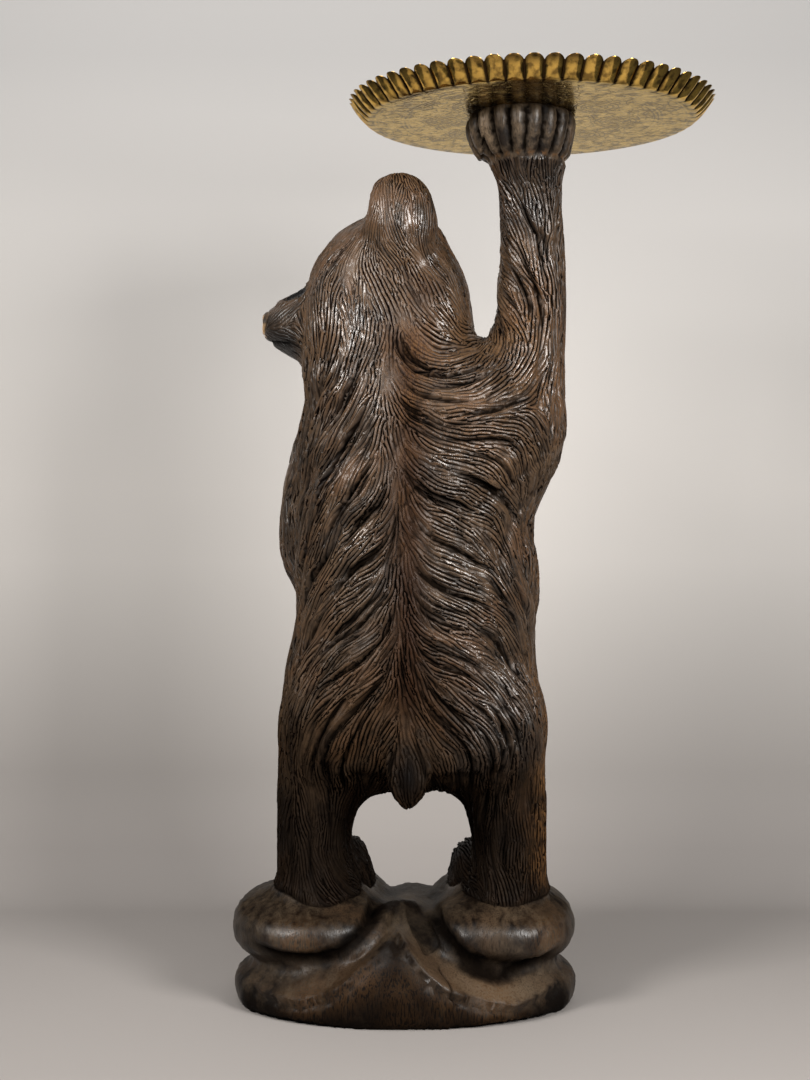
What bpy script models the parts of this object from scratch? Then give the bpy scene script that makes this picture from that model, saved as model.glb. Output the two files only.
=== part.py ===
"""A carved wooden bear that stands on a rock base and holds a brass tray.

The bear and its base are one carved block of wood. The bear stands upright on
two rounded rocks, with its head turned to its own left, its left paw on its
belly and its right arm raised straight up. A round brass tray with a fluted
rim rests on the raised paw.

The frame: +Z is up, the bear's back is at +Y, its chest at -Y, its left arm
at +X and its raised right arm at -X. The origin is the middle of the base's
underside.

The figure is free form. Its places and sizes are written in figure units,
thousandths of a metre at the height at which its tables were drawn, and they
grow with BEAR_HEIGHT. It stands on top of the base's stones. The base, the tray
and the fit between tray and paw have sizes of their own.
"""

import math

import bmesh
import bpy
import numpy as np
from mathutils import Matrix, Vector

# Driving dimensions, in metres.
BEAR_HEIGHT = 0.917             # floor to the flat top of the raised paw
BASE_LENGTH = 0.362             # across both feet
BASE_DEPTH = 0.292              # front to back
BASE_HEIGHT = 0.116             # floor to the top of the two stones
BASE_RIM_HEIGHT = 0.016         # low rim of the rock at its back corners
BASE_SHELF_HEIGHT = 0.052       # rock under the stones
BASE_PEAK_HEIGHT = 0.080        # end of the middle ridge, at the back
BASE_RIDGE_HEIGHT = 0.099       # middle ridge between the feet
TRAY_DIAMETER = 0.381           # over the tips of the flutes
TRAY_FLOOR_DIAMETER = 0.342     # flat part inside the rim
TRAY_RIM_HEIGHT = 0.0215        # underside to the tips of the flutes
TRAY_SHEET = 0.0015             # thickness of the brass
TRAY_FLUTES = 60
TRAY_FLUTE_DEPTH = 0.0034       # how far a flute bulges past its gap
TRAY_SHIFT_X = -0.0112          # tray centre from the paw's centre
TRAY_SHIFT_Y = -0.0180
SEAT_CLEARANCE = 0.0003         # between the tray's underside and the paw

# How the block is cut from the forms.
BODY_VOXEL = 0.0050             # grain of the body before its soft passes
BLOCK_VOXEL = 0.0042            # grain of the whole block
BEAR_FACES = 7500

# The tables were drawn for a bear and stones of these heights, in figure units.
DRAWN_HEIGHT = 917.0
DRAWN_BASE = 116.0
UNIT = (BEAR_HEIGHT - BASE_HEIGHT) / (DRAWN_HEIGHT - DRAWN_BASE)

# The raised paw, in figure units: its centre and half widths at the top.
PAW_X, PAW_Y = -120.5, 37.0
PAW_HALF_X, PAW_HALF_Y = 54.0, 65.0
PAW_RIDGES = 18
PAW_RIDGE_DEPTH = 4.5

# The ears stand side by side on the turned head, and so do the eyes.
EARS_Y = (45.0, -57.0)
EYES_Y = (7.0, -46.0)

# Locks of fur, cut as gouges that are seen from behind: the start and the end
# of each as x, z in figure units. The first table is the back from the neck
# down, left side then right side, and the last rows are the rump and the arm.
BACK_LOCKS = [
    (49, 597, 92, 538), (40, 547, 85, 499), (24, 514, 66, 484), (24, 463, 70, 437),
    (26, 416, 85, 368), (21, 386, 79, 331), (84, 470, 112, 422), (90, 400, 118, 352),
    (54, 636, 76, 604), (66, 655, 92, 620), (96, 560, 116, 512), (22, 344, 70, 296),
    (4, 681, -50, 624), (-5, 613, -50, 597), (-19, 523, -60, 509), (-66, 543, -115, 513),
    (-29, 477, -89, 440), (-22, 444, -80, 413), (-22, 410, -54, 391), (-22, 365, -77, 342),
    (-90, 384, -118, 348), (-19, 325, -58, 286), (-94, 304, -118, 268), (-92, 432, -122, 400),
    (-58, 585, -112, 566), (-72, 628, -126, 604),
    (60, 322, 108, 262), (28, 300, 80, 232), (-70, 322, -122, 262), (-34, 296, -92, 230),
    (-112, 806, -146, 772), (-110, 756, -150, 716),
]
# The same for the chest and the belly, seen from the front, one side.
FRONT_LOCKS = [
    (16, 628, 58, 588), (14, 592, 66, 548), (14, 452, 70, 416), (16, 412, 78, 370),
    (16, 368, 82, 322), (18, 322, 84, 276), (60, 300, 104, 236),
]
LOCK_DEPTH = 5.0
LOCK_WIDTH = 5.5
EAR_HOLLOW_DEPTH = 10.0
EYE_SOCKET_DEPTH = 5.0
EYE_RISE = 5.5


def clear_scene():
    for thing in list(bpy.data.objects):
        bpy.data.objects.remove(thing, do_unlink=True)


def finish(name, colour, roughness, metallic):
    material = bpy.data.materials.new(name)
    material.use_nodes = True
    shader = material.node_tree.nodes["Principled BSDF"]
    shader.inputs["Base Color"].default_value = (*colour, 1.0)
    shader.inputs["Roughness"].default_value = roughness
    shader.inputs["Metallic"].default_value = metallic
    return material


def ease(t):
    """A smooth step from 0 to 1."""
    t = np.clip(t, 0.0, 1.0)
    return t * t * (3.0 - 2.0 * t)


def to_world(points):
    """Figure units to metres: the drawn stones' top lands on the real one."""
    return (np.asarray(points) - (0, 0, DRAWN_BASE)) * UNIT + (0, 0, BASE_HEIGHT)


def to_figure(points):
    return (points - (0, 0, BASE_HEIGHT)) / UNIT + (0, 0, DRAWN_BASE)


def smooth_rows(rows, count):
    """Catmull-Rom rows between the given ones, so few stations make a form.

    The radii never sink far under those of the nearest two stations.
    """
    rows = np.array(rows, dtype=float)
    padded = np.vstack([2 * rows[0] - rows[1], rows, 2 * rows[-1] - rows[-2]])
    where = np.linspace(0, len(rows) - 1, count)
    start = np.minimum(where.astype(int), len(rows) - 2)
    t = (where - start)[:, None]
    p0, p1, p2, p3 = (padded[start + k] for k in range(4))
    curve = 0.5 * (2 * p1 + (p2 - p0) * t + (2 * p0 - 5 * p1 + 4 * p2 - p3) * t ** 2
                   + (3 * p1 - p0 - 3 * p2 + p3) * t ** 3)
    low = np.minimum(p1, p2)[:, 3:]
    curve[:, 3:] = np.maximum(curve[:, 3:], 0.6 * low)
    return curve


def oval(count, squareness):
    """Unit points round an oval; above 2, squareness fills its corners."""
    turn = np.linspace(0, 2 * math.pi, count, endpoint=False)
    power = 2.0 / squareness
    across = np.sign(np.cos(turn)) * np.abs(np.cos(turn)) ** power
    deep = np.sign(np.sin(turn)) * np.abs(np.sin(turn)) ** power
    return across, deep


def add_rings(clay, rings):
    """Close a list of equal rings of points into one skin."""
    loops = [[clay.verts.new(point) for point in ring] for ring in rings]
    sides = len(loops[0])
    for lower, upper in zip(loops, loops[1:]):
        for i in range(sides):
            j = (i + 1) % sides
            clay.faces.new((lower[i], lower[j], upper[j], upper[i]))
    clay.faces.new(list(reversed(loops[0])))
    clay.faces.new(loops[-1])


def add_loft(clay, stations, across=(1, 0, 0), deep=(0, 1, 0), squareness=2.0):
    """A form through oval sections: rows of x, y, z, half width, half depth."""
    across, deep = np.array(across, dtype=float), np.array(deep, dtype=float)
    wide, far = oval(40, squareness)
    rings = []
    for x, y, z, half_across, half_deep in smooth_rows(stations, 8 * len(stations)):
        points = (np.array([x, y, z]) + half_across * wide[:, None] * across
                  + half_deep * far[:, None] * deep)
        rings.append(to_world(points))
    add_rings(clay, rings)


def add_ball(clay, centre, radii, tilt=0.0, squareness=2.0, sides=32):
    """An egg form, turned by tilt degrees about the Y axis."""
    lift = np.linspace(-math.pi / 2, math.pi / 2, sides // 2 + 1)[1:-1]
    power = 2.0 / squareness
    wide, far = oval(sides, squareness)
    turned = np.array(Matrix.Rotation(math.radians(tilt), 3, "Y"))
    rings = []
    for a in lift:
        flat = abs(math.cos(a)) ** power
        up = math.copysign(abs(math.sin(a)) ** power, a)
        points = np.stack([wide * flat, far * flat, np.full_like(wide, up)], axis=1) * radii
        rings.append(to_world(points @ turned.T + centre))
    add_rings(clay, rings)


def add_limb(clay, path):
    """A limb of balls along a smooth path: rows of x, y, z, radius."""
    for x, y, z, radius in smooth_rows(path, 6 * len(path)):
        add_ball(clay, (x, y, z), (radius, radius, radius), sides=24)


def trunk(clay):
    add_loft(clay, [
        (-5, 6, 214, 34, 40),
        (-5, 5, 222, 74, 74),
        (-7, 3, 240, 120, 98),
        (-7, 0, 260, 137, 114),
        (-8, -3, 286, 137, 119),
        (-8, -6, 314, 135, 121),
        (-6, -6, 348, 132, 118),
        (-10, -5, 386, 126, 111),
        (-13.5, -3, 420, 127.5, 106),
        (-11, -1, 461, 127, 102),
        (-9, 0, 485, 125, 102),
        (-12, 2, 514, 126, 104),
        (-21, 2, 542, 132, 106),
        (-28, 2, 575, 138, 106),
        (-31, 2, 612, 138, 100),
        (-31, 2, 645, 126, 86),
        (-31, 2, 670, 94, 62),
        (-31, 2, 684, 40, 28),
    ], squareness=2.2)


def haunches(clay):
    add_ball(clay, (64, 26, 286), (68, 86, 86))
    add_ball(clay, (-80, 26, 288), (68, 86, 86))
    add_limb(clay, [(-6, 78, 600, 26), (-6, 82, 520, 26), (-5, 86, 420, 26), (-3, 94, 320, 26)])


def legs(clay):
    for side, shift in ((1, 0), (-1, -1)):
        outer = 133 if side > 0 else -147
        add_loft(clay, [
            (outer - 72 * side, 10, 300, 66, 74),
            (outer - 70 * side, 14, 262, 68, 78),
            (outer - 63 * side, 15, 240, 62, 72),
            (outer - 52 * side, 15, 221, 52, 66),
            (outer - 43 * side, 15, 204, 43, 61),
            (outer - 38.5 * side, 15, 182, 38.5, 59),
            (outer - 38 * side, 15, 150, 38, 58),
            (outer - 40 * side, 14, 125, 40, 60),
            (outer - 41.5 * side, 13, 100, 41.5, 61),
            (outer - 42 * side, 12, 80, 40, 58),
        ], squareness=2.2)


def head(clay):
    add_loft(clay, [
        (0, 4, 560, 60, 80),
        (4, 6, 596, 82, 98),
        (12, 4, 630, 91, 94),
        (13, 2, 657, 95, 86),
        (16, -2, 681, 92, 79),
        (17, -5, 702, 91, 75),
        (17.5, -6, 728, 89, 72),
        (18.5, -6, 752, 85, 71),
        (19.5, -6, 768, 80, 68),
        (18.5, -6, 788, 68, 62),
        (15.5, -6, 806, 52, 48),
        (8, -6, 819, 37, 35),
        (8, -6, 828, 16, 15),
    ])
    for far in (1, -1):
        add_ball(clay, (60, -8 + 34 * far, 700), (46, 46, 66))
        add_ball(clay, (-26, -8 + 30 * far, 706), (43, 52, 80))


def lowered_arm(clay):
    add_loft(clay, [
        (62, -20, 640, 26, 36),
        (72, -20, 615, 36, 44),
        (79, -20, 594, 36.5, 46),
        (89, -20, 557, 36, 44),
        (97, -20, 520, 35, 42),
        (100, -22, 484, 34.5, 40),
        (100, -24, 461, 33, 38),
        (99, -26, 442, 27, 32),
        (98, -28, 430, 15, 20),
        (98, -28, 426, 5, 7),
    ])
    add_limb(clay, [(97, -34, 466, 34), (88, -72, 474, 31), (64, -104, 490, 27),
                    (36, -118, 506, 24)])


def raised_arm(clay):
    above = DRAWN_HEIGHT + 14
    add_loft(clay, [
        (-84, 0, 570, 50, 70),
        (-86, 0, 600, 74, 80),
        (-93, 1, 630, 73, 76),
        (-105, 3, 656, 62.5, 68),
        (-121, 5, 680, 46.5, 58),
        (-130, 7, 700, 38.5, 50),
        (-132.5, 9, 720, 37, 45),
        (-133, 13, 751, 36, 41),
        (-133.3, 19, 784, 33.4, 38),
        (-130.3, 27, 829, 31.6, 35),
        (-129, 33, 852, 33, 37),
        (-126, PAW_Y, 869, 40, 45),
        (-123.3, PAW_Y, 881, 48, 54),
        (PAW_X, PAW_Y, 896, 54, 64),
        (PAW_X, PAW_Y, DRAWN_HEIGHT - 5, PAW_HALF_X + 1.5, PAW_HALF_Y + 1.5),
        (PAW_X, PAW_Y, above, PAW_HALF_X + 1.5, PAW_HALF_Y + 1.5),
    ])


def muzzle(clay):
    add_loft(clay, [
        (64, -15, 704, 46, 44),
        (92, -18, 705, 44, 41),
        (109, -20, 706.5, 40, 37.5),
        (130, -22, 708, 32, 28),
        (144, -23, 708, 22, 18.5),
        (151.5, -24, 708, 13.5, 12),
        (155.5, -24, 708, 6, 5),
    ], across=(0, 1, 0), deep=(0, 0, 1))
    add_ball(clay, (146, -24, 717), (9, 14, 7), sides=20)
    add_ball(clay, (92, -20, 737), (17, 31, 14))


def ear(clay, y):
    add_loft(clay, [
        (5, 0.9 * y, 744, 22, 21),
        (5, 0.95 * y, 766, 32, 27),
        (5.2, y, 789, 37, 31),
        (5.8, y, 806, 38, 32.5),
        (6.6, y, 826, 36, 31.5),
        (6.2, y, 842, 30, 26.5),
        (5.6, y, 853, 20, 18),
        (5.2, y, 859.5, 7, 6),
    ])


def tail(clay):
    add_loft(clay, [
        (-3, 104, 300, 12, 10),
        (-3, 112, 278, 20, 14),
        (-3, 119, 255, 23, 15),
        (-3, 123, 238, 21.5, 13),
        (-3, 124, 224, 15, 10),
        (-3, 123, 213.5, 5, 5),
    ])


def foot(clay, ankle, middle):
    """A broad foot that points forward, with five toes and their claws."""
    add_ball(clay, (middle, -46, 124), (49, 78, 40), squareness=2.3)
    for k in range(-2, 3):
        reach = -108 + 2.4 * k * k
        add_ball(clay, (middle + 17 * k, reach, 118), (10.5, 21, 14), sides=20)
        add_ball(clay, (middle + 18.5 * k, reach - 17, 115), (4.6, 11, 6.5), sides=16)
    add_ball(clay, (ankle, 16, 112), (44, 60, 22))


def belly_paw(clay):
    """The left paw, flat on the belly, with five fingers and their claws."""
    add_ball(clay, (24, -124, 512), (30, 18, 26), tilt=-20)
    for k in range(5):
        fan = math.radians(-38 + 19 * k)
        along = np.array([-math.cos(fan), 0, math.sin(fan)])
        knuckle = np.array([24, -128, 514]) + 26 * along
        add_ball(clay, knuckle, (14, 10, 6.4), tilt=math.degrees(fan), sides=16)
        add_ball(clay, knuckle + 14 * along, (8, 5, 3.8), tilt=math.degrees(fan), sides=16)


def base_top(x, y):
    """Height of the rock under the two stones, in metres.

    A low rim climbs to a shelf. A ridge runs from front to back between the
    stones, sinks to the peak and ends in a steep three-cornered face.
    """
    half_x, half_y = BASE_LENGTH / 2, BASE_DEPTH / 2
    out = (np.abs(x / half_x) ** 2.25 + np.abs(y / half_y) ** 2.25) ** (1 / 2.25)
    rear = np.clip(y / half_y, -1, 1)
    rim = BASE_RIM_HEIGHT * (1.0 + 0.9 * ease(1.6 - 2.4 * np.abs(rear)))
    shelf = rim + (BASE_SHELF_HEIGHT - rim) * ease((1 - out) / 0.24)
    crest = BASE_RIDGE_HEIGHT + (BASE_PEAK_HEIGHT - BASE_RIDGE_HEIGHT) * ease(1.2 * rear)
    slope = 0.75 + 0.07 * ease((rear - 0.62) / 0.3)
    blunt = 0.004 + 0.018 * ease(1.0 - 1.4 * rear)
    away = np.sqrt((x - 0.028 * BASE_LENGTH * rear) ** 2 + blunt ** 2) - blunt
    face = BASE_PEAK_HEIGHT * (0.45 + 4.6 * (1 - out))
    return np.maximum(np.minimum(crest - slope * away, face), shelf)


def base(clay):
    """The low rock: a plan like a rounded oblong, with a rolled lower edge."""
    wide, far = oval(120, 2.25)
    edge_x, edge_y = wide * BASE_LENGTH / 2, far * BASE_DEPTH / 2
    under = -2.5 * BLOCK_VOXEL
    rings = []
    for share, rise in ((0.5, 0), (0.93, 0), (0.955, 0.2), (0.985, 0.5), (0.995, 0.8)):
        height = under + rise * (base_top(edge_x, edge_y) - under)
        rings.append(np.stack([edge_x * share, edge_y * share, height], axis=1))
    for share in (0.985, 0.95, 0.9, 0.84, 0.78, 0.7, 0.6, 0.5, 0.4, 0.3, 0.2, 0.1, 0.03):
        x, y = edge_x * share, edge_y * share
        rings.append(np.stack([x, y, base_top(x, y)], axis=1))
    add_rings(clay, rings)


def stone(clay, inner, outer):
    """A big rounded stone under a foot, from its inner to its outer side.

    Two lower lobes fill its inner side, one at the back and one at the front.
    """
    low = (BASE_SHELF_HEIGHT - 0.012 - BASE_HEIGHT) / UNIT + DRAWN_BASE
    half_y = 0.5 * BASE_DEPTH / UNIT
    middle_z, half_z = (DRAWN_BASE + low) / 2, (DRAWN_BASE - low) / 2
    side = math.copysign(1, outer)
    add_ball(clay, ((inner + outer) / 2, -0.08 * half_y, middle_z),
             (abs(outer - inner) / 2, 0.82 * half_y, half_z), squareness=2.4, sides=48)
    add_ball(clay, (inner + 41 * side, 0.25 * half_y, middle_z - 2),
             (44, 0.46 * half_y, half_z - 3), squareness=2.2)
    add_ball(clay, (inner + 33 * side, -0.48 * half_y, middle_z + 3),
             (35, 0.4 * half_y, half_z - 4), squareness=2.2)


def stones(clay):
    outer = 0.5 * BASE_LENGTH / UNIT
    stone(clay, 15, 1.005 * outer)
    stone(clay, -28, -0.99 * outer)


def read_mesh(thing):
    """An object's finished mesh, with its points and their normals."""
    graph = bpy.context.evaluated_depsgraph_get()
    mesh = bpy.data.meshes.new_from_object(thing.evaluated_get(graph))
    points = np.empty(len(mesh.vertices) * 3)
    mesh.vertices.foreach_get("co", points)
    normals = np.empty(len(mesh.vertices) * 3, dtype=np.float32)
    mesh.vertex_normals.foreach_get("vector", normals)
    return mesh, points.reshape(-1, 3), normals.reshape(-1, 3).astype(float)


def fuse(bear, clay, voxel, passes):
    """Join all forms in the clay into one skin and soften where they meet."""
    rough = bpy.data.meshes.new("rough")
    clay.to_mesh(rough)
    clay.free()
    bear.data = rough
    remesh = bear.modifiers.new("join", "REMESH")
    remesh.mode = "VOXEL"
    remesh.voxel_size = voxel
    relax = bear.modifiers.new("relax", "SMOOTH")
    relax.factor = 0.5
    relax.iterations = passes
    mesh, points, normals = read_mesh(bear)
    bear.modifiers.clear()
    bear.data = mesh
    return mesh, points, normals


def paw_ridges(points):
    """How far the fingers stand out round the back of the raised paw."""
    x, y, z = to_figure(points).T
    turn = np.arctan2((x - PAW_X) / PAW_HALF_X, (y - PAW_Y) / PAW_HALF_Y)
    tooth = np.abs(np.sin(0.5 * PAW_RIDGES * turn)) ** 0.7
    rise = ease((z - 866) / 14)
    behind = np.clip(1.4 * np.cos(turn) + 0.6, 0, 1)
    return PAW_RIDGE_DEPTH * (tooth - 0.75) * rise * behind


def locks(points, normals, rows, facing):
    """Gouges between the locks: deep at the middle, thin at both ends.

    Each gouge swings a little like an S, and the lock above it swells.
    """
    x, _, z = to_figure(points).T
    seen = ease((normals[:, 1] * facing - 0.1) / 0.3)
    depth = np.zeros(len(points))
    for x0, z0, x1, z1 in rows:
        dx, dz = x1 - x0, z1 - z0
        length = math.hypot(dx, dz)
        t = ((x - x0) * dx + (z - z0) * dz) / length ** 2
        above = math.copysign(1, dx) * ((z - z0) * dx - (x - x0) * dz) / length
        above = above + 0.07 * length * np.sin(2 * math.pi * t)
        taper = np.sin(math.pi * np.clip(t, 0, 1)) ** 0.7
        cut = np.exp(-(above / LOCK_WIDTH) ** 2)
        swell = np.exp(-((above - 2.1 * LOCK_WIDTH) / (1.6 * LOCK_WIDTH)) ** 2)
        depth += LOCK_DEPTH * taper * (0.45 * swell - cut)
    return np.clip(depth, -1.2 * LOCK_DEPTH, 0.6 * LOCK_DEPTH) * seen


def ears_and_eyes(points):
    """A hollow in the front of each ear, and an eye in each of two sockets."""
    x, y, z = to_figure(points).T
    depth = np.zeros(len(points))
    for middle in EARS_Y:
        away = ((y - middle) / 15) ** 2 + ((z - 824) / 21) ** 2
        depth -= EAR_HOLLOW_DEPTH * ease(1.3 - away) * ease((x - 6) / 14)
    for middle in EYES_Y:
        away = np.sqrt((y - middle) ** 2 + (z - 741) ** 2 + 0.2 * (x - 100) ** 2)
        eye = EYE_RISE * np.exp(-(away / 6) ** 2) - EYE_SOCKET_DEPTH * np.exp(-(away / 11) ** 2)
        depth += np.where(x > 60, eye, 0)
    return depth


def cut_level(mesh, height, keep_below):
    """Cut the block level and close the cut with one flat face."""
    block = bmesh.new()
    block.from_mesh(mesh)
    result = bmesh.ops.bisect_plane(
        block, geom=block.verts[:] + block.edges[:] + block.faces[:], dist=1e-7,
        plane_co=(0, 0, height), plane_no=(0, 0, 1),
        clear_outer=keep_below, clear_inner=not keep_below)
    rim = [e for e in result["geom_cut"] if isinstance(e, bmesh.types.BMEdge)]
    bmesh.ops.holes_fill(block, edges=rim)
    bmesh.ops.recalc_face_normals(block, faces=block.faces[:])
    block.to_mesh(mesh)
    block.free()


def make_bear():
    bear = bpy.data.objects.new("bear", bpy.data.meshes.new("bear"))
    bpy.context.collection.objects.link(bear)

    body = bmesh.new()
    for form in (trunk, haunches, legs, head, lowered_arm, raised_arm):
        form(body)
    soft = fuse(bear, body, BODY_VOXEL, 16)[0]

    block = bmesh.new()
    block.from_mesh(soft)
    for form in (muzzle, tail, belly_paw, base, stones):
        form(block)
    for y in EARS_Y:
        ear(block, y)
    foot(block, 96, 84)
    foot(block, -106, -98)
    mesh, points, normals = fuse(bear, block, BLOCK_VOXEL, 5)

    both_sides = FRONT_LOCKS + [(-x0 - 10, z0, -x1 - 10, z1) for x0, z0, x1, z1 in FRONT_LOCKS]
    depth = (paw_ridges(points) + ears_and_eyes(points)
             + locks(points, normals, BACK_LOCKS, 1) + locks(points, normals, both_sides, -1))
    points = points + normals * (depth * UNIT)[:, None]
    mesh.vertices.foreach_set("co", points.ravel())
    mesh.update()

    thin = bear.modifiers.new("thin", "DECIMATE")
    thin.ratio = BEAR_FACES / sum(len(p.vertices) - 2 for p in mesh.polygons)
    mesh = read_mesh(bear)[0]
    bear.modifiers.clear()
    bear.data = mesh
    cut_level(mesh, 0.0, keep_below=False)
    cut_level(mesh, BEAR_HEIGHT, keep_below=True)
    mesh.materials.append(finish("waxed wood", (0.075, 0.042, 0.026), 0.36, 0.0))


def make_tray():
    """A round sheet with a fluted rim, as rings about its own axis."""
    turn = np.linspace(0, 2 * math.pi, 3 * TRAY_FLUTES, endpoint=False)
    lobe = np.abs(np.sin(0.5 * TRAY_FLUTES * turn)) ** 0.6
    floor = TRAY_FLOOR_DIAMETER / 2
    lip = TRAY_DIAMETER / 2 - TRAY_FLUTE_DEPTH
    middle = floor + 0.62 * (lip - floor)

    def ring(radius, height, bulge, dip):
        r = radius + bulge * TRAY_FLUTE_DEPTH * lobe
        z = height - dip * TRAY_RIM_HEIGHT * (1 - lobe)
        return np.stack([r * np.cos(turn), r * np.sin(turn), z], axis=1)

    outside = [
        ring(0.04 * floor, 0, 0, 0),
        ring(floor, 0, 0.3, 0),
        ring(middle, 0.5 * TRAY_RIM_HEIGHT, 0.9, 0),
        ring(lip, TRAY_RIM_HEIGHT, 1, 0.18),
    ]
    inside = [
        ring(lip - TRAY_SHEET, TRAY_RIM_HEIGHT, 1, 0.18),
        ring(middle - TRAY_SHEET, 0.5 * TRAY_RIM_HEIGHT, 0.9, 0),
        ring(floor - 0.6 * TRAY_SHEET, TRAY_SHEET, 0.3, 0),
        ring(0.04 * floor, TRAY_SHEET, 0, 0),
    ]
    sheet = bmesh.new()
    add_rings(sheet, outside + inside)
    bmesh.ops.recalc_face_normals(sheet, faces=sheet.faces[:])
    mesh = bpy.data.meshes.new("tray")
    sheet.to_mesh(mesh)
    sheet.free()
    mesh.materials.append(finish("aged brass", (0.42, 0.29, 0.10), 0.32, 1.0))
    tray = bpy.data.objects.new("tray", mesh)
    bpy.context.collection.objects.link(tray)
    seat = to_world((PAW_X, PAW_Y, DRAWN_HEIGHT))
    tray.location = Vector(seat) + Vector((TRAY_SHIFT_X, TRAY_SHIFT_Y, SEAT_CLEARANCE))


clear_scene()
make_bear()
make_tray()
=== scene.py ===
"""The looks of a carved wooden bear that holds up a brass tray, built round its CAD model."""

import math

import bpy
import numpy as np
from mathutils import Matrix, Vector, kdtree


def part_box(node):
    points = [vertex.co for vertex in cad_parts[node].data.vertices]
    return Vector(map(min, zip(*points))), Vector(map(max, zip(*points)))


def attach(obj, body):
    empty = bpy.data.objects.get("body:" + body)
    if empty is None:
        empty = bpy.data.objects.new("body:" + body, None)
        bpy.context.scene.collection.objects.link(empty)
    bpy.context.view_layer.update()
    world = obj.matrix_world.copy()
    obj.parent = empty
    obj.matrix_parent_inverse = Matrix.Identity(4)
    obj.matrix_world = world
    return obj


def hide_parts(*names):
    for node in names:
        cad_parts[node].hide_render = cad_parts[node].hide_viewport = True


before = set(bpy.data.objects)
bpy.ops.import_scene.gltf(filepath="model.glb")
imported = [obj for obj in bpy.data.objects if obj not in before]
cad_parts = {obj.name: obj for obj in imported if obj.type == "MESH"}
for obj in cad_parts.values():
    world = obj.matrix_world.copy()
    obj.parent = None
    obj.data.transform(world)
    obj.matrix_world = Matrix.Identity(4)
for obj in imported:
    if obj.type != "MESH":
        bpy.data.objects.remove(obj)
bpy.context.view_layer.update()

# The bear and its rock base are one block of dense hardwood, roughed out and rounded with
# gouges. This section takes the block's form and rounds it before the fur is cut.


def apply_modifiers(thing):
    """Work out an object's modifiers once and keep the result as its mesh."""
    graph = bpy.context.evaluated_depsgraph_get()
    mesh = bpy.data.meshes.new_from_object(thing.evaluated_get(graph))
    thing.modifiers.clear()
    thing.data = mesh


def read_points(mesh):
    """All points of a mesh and their normals, in metres."""
    points = np.empty(len(mesh.vertices) * 3)
    mesh.vertices.foreach_get("co", points)
    normals = np.empty(len(mesh.vertices) * 3, dtype=np.float32)
    mesh.vertex_normals.foreach_get("vector", normals)
    return points.reshape(-1, 3), normals.reshape(-1, 3).astype(float)


FLOOR, PAW_TOP = 0.0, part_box("bear")[1].z

bear = bpy.data.objects.new("carved_bear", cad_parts["bear"].data.copy())
bpy.context.scene.collection.objects.link(bear)
bpy.ops.object.select_all(action="DESELECT")
bear.select_set(True)
bpy.context.view_layer.objects.active = bear
bpy.ops.object.mode_set(mode="EDIT")
bpy.ops.mesh.select_all(action="SELECT")
bpy.ops.mesh.remove_doubles(threshold=1e-5)
bpy.ops.object.mode_set(mode="OBJECT")
rounder = bear.modifiers.new("rounder", "SUBSURF")
rounder.levels = rounder.render_levels = 2
skin = bear.modifiers.new("skin", "REMESH")
skin.mode = "VOXEL"
skin.voxel_size = 0.0047
apply_modifiers(bear)


def keep_level(thing):
    """Put the underside and the raised paw's seat back into their level faces."""
    points, _ = read_points(thing.data)
    z = points[:, 2]
    z[z < FLOOR + 0.0016] = FLOOR
    z[z > PAW_TOP - 0.0016] = PAW_TOP
    thing.data.vertices.foreach_set("co", points.ravel())
    thing.data.update()


edges = np.empty(len(bear.data.edges) * 2, dtype=np.int32)
bear.data.edges.foreach_get("vertices", edges)
edges = edges.reshape(-1, 2)
from_end = np.concatenate([edges[:, 0], edges[:, 1]])
to_end = np.concatenate([edges[:, 1], edges[:, 0]])
neighbours = np.bincount(from_end)


def gather(values):
    """Sum what each point of the form receives over its edges."""
    flat = values.reshape(len(values), -1)
    sums = np.stack([np.bincount(from_end, column) for column in flat.T], axis=1)
    return sums.reshape((-1,) + values.shape[1:])


# Facets are smoothed away and the lost roundness is given back, turn by turn.
form, _ = read_points(bear.data)
for _ in range(9):
    for share in (0.5, -0.51):
        form += share * (gather(form[to_end]) / neighbours[:, None] - form)
bear.data.vertices.foreach_set("co", form.ravel())
bear.data.update()
keep_level(bear)

# The fur runs down from the head and parts along the spine. These strokes follow it, so that
# every furrow can be laid along the nearest ones.

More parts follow.
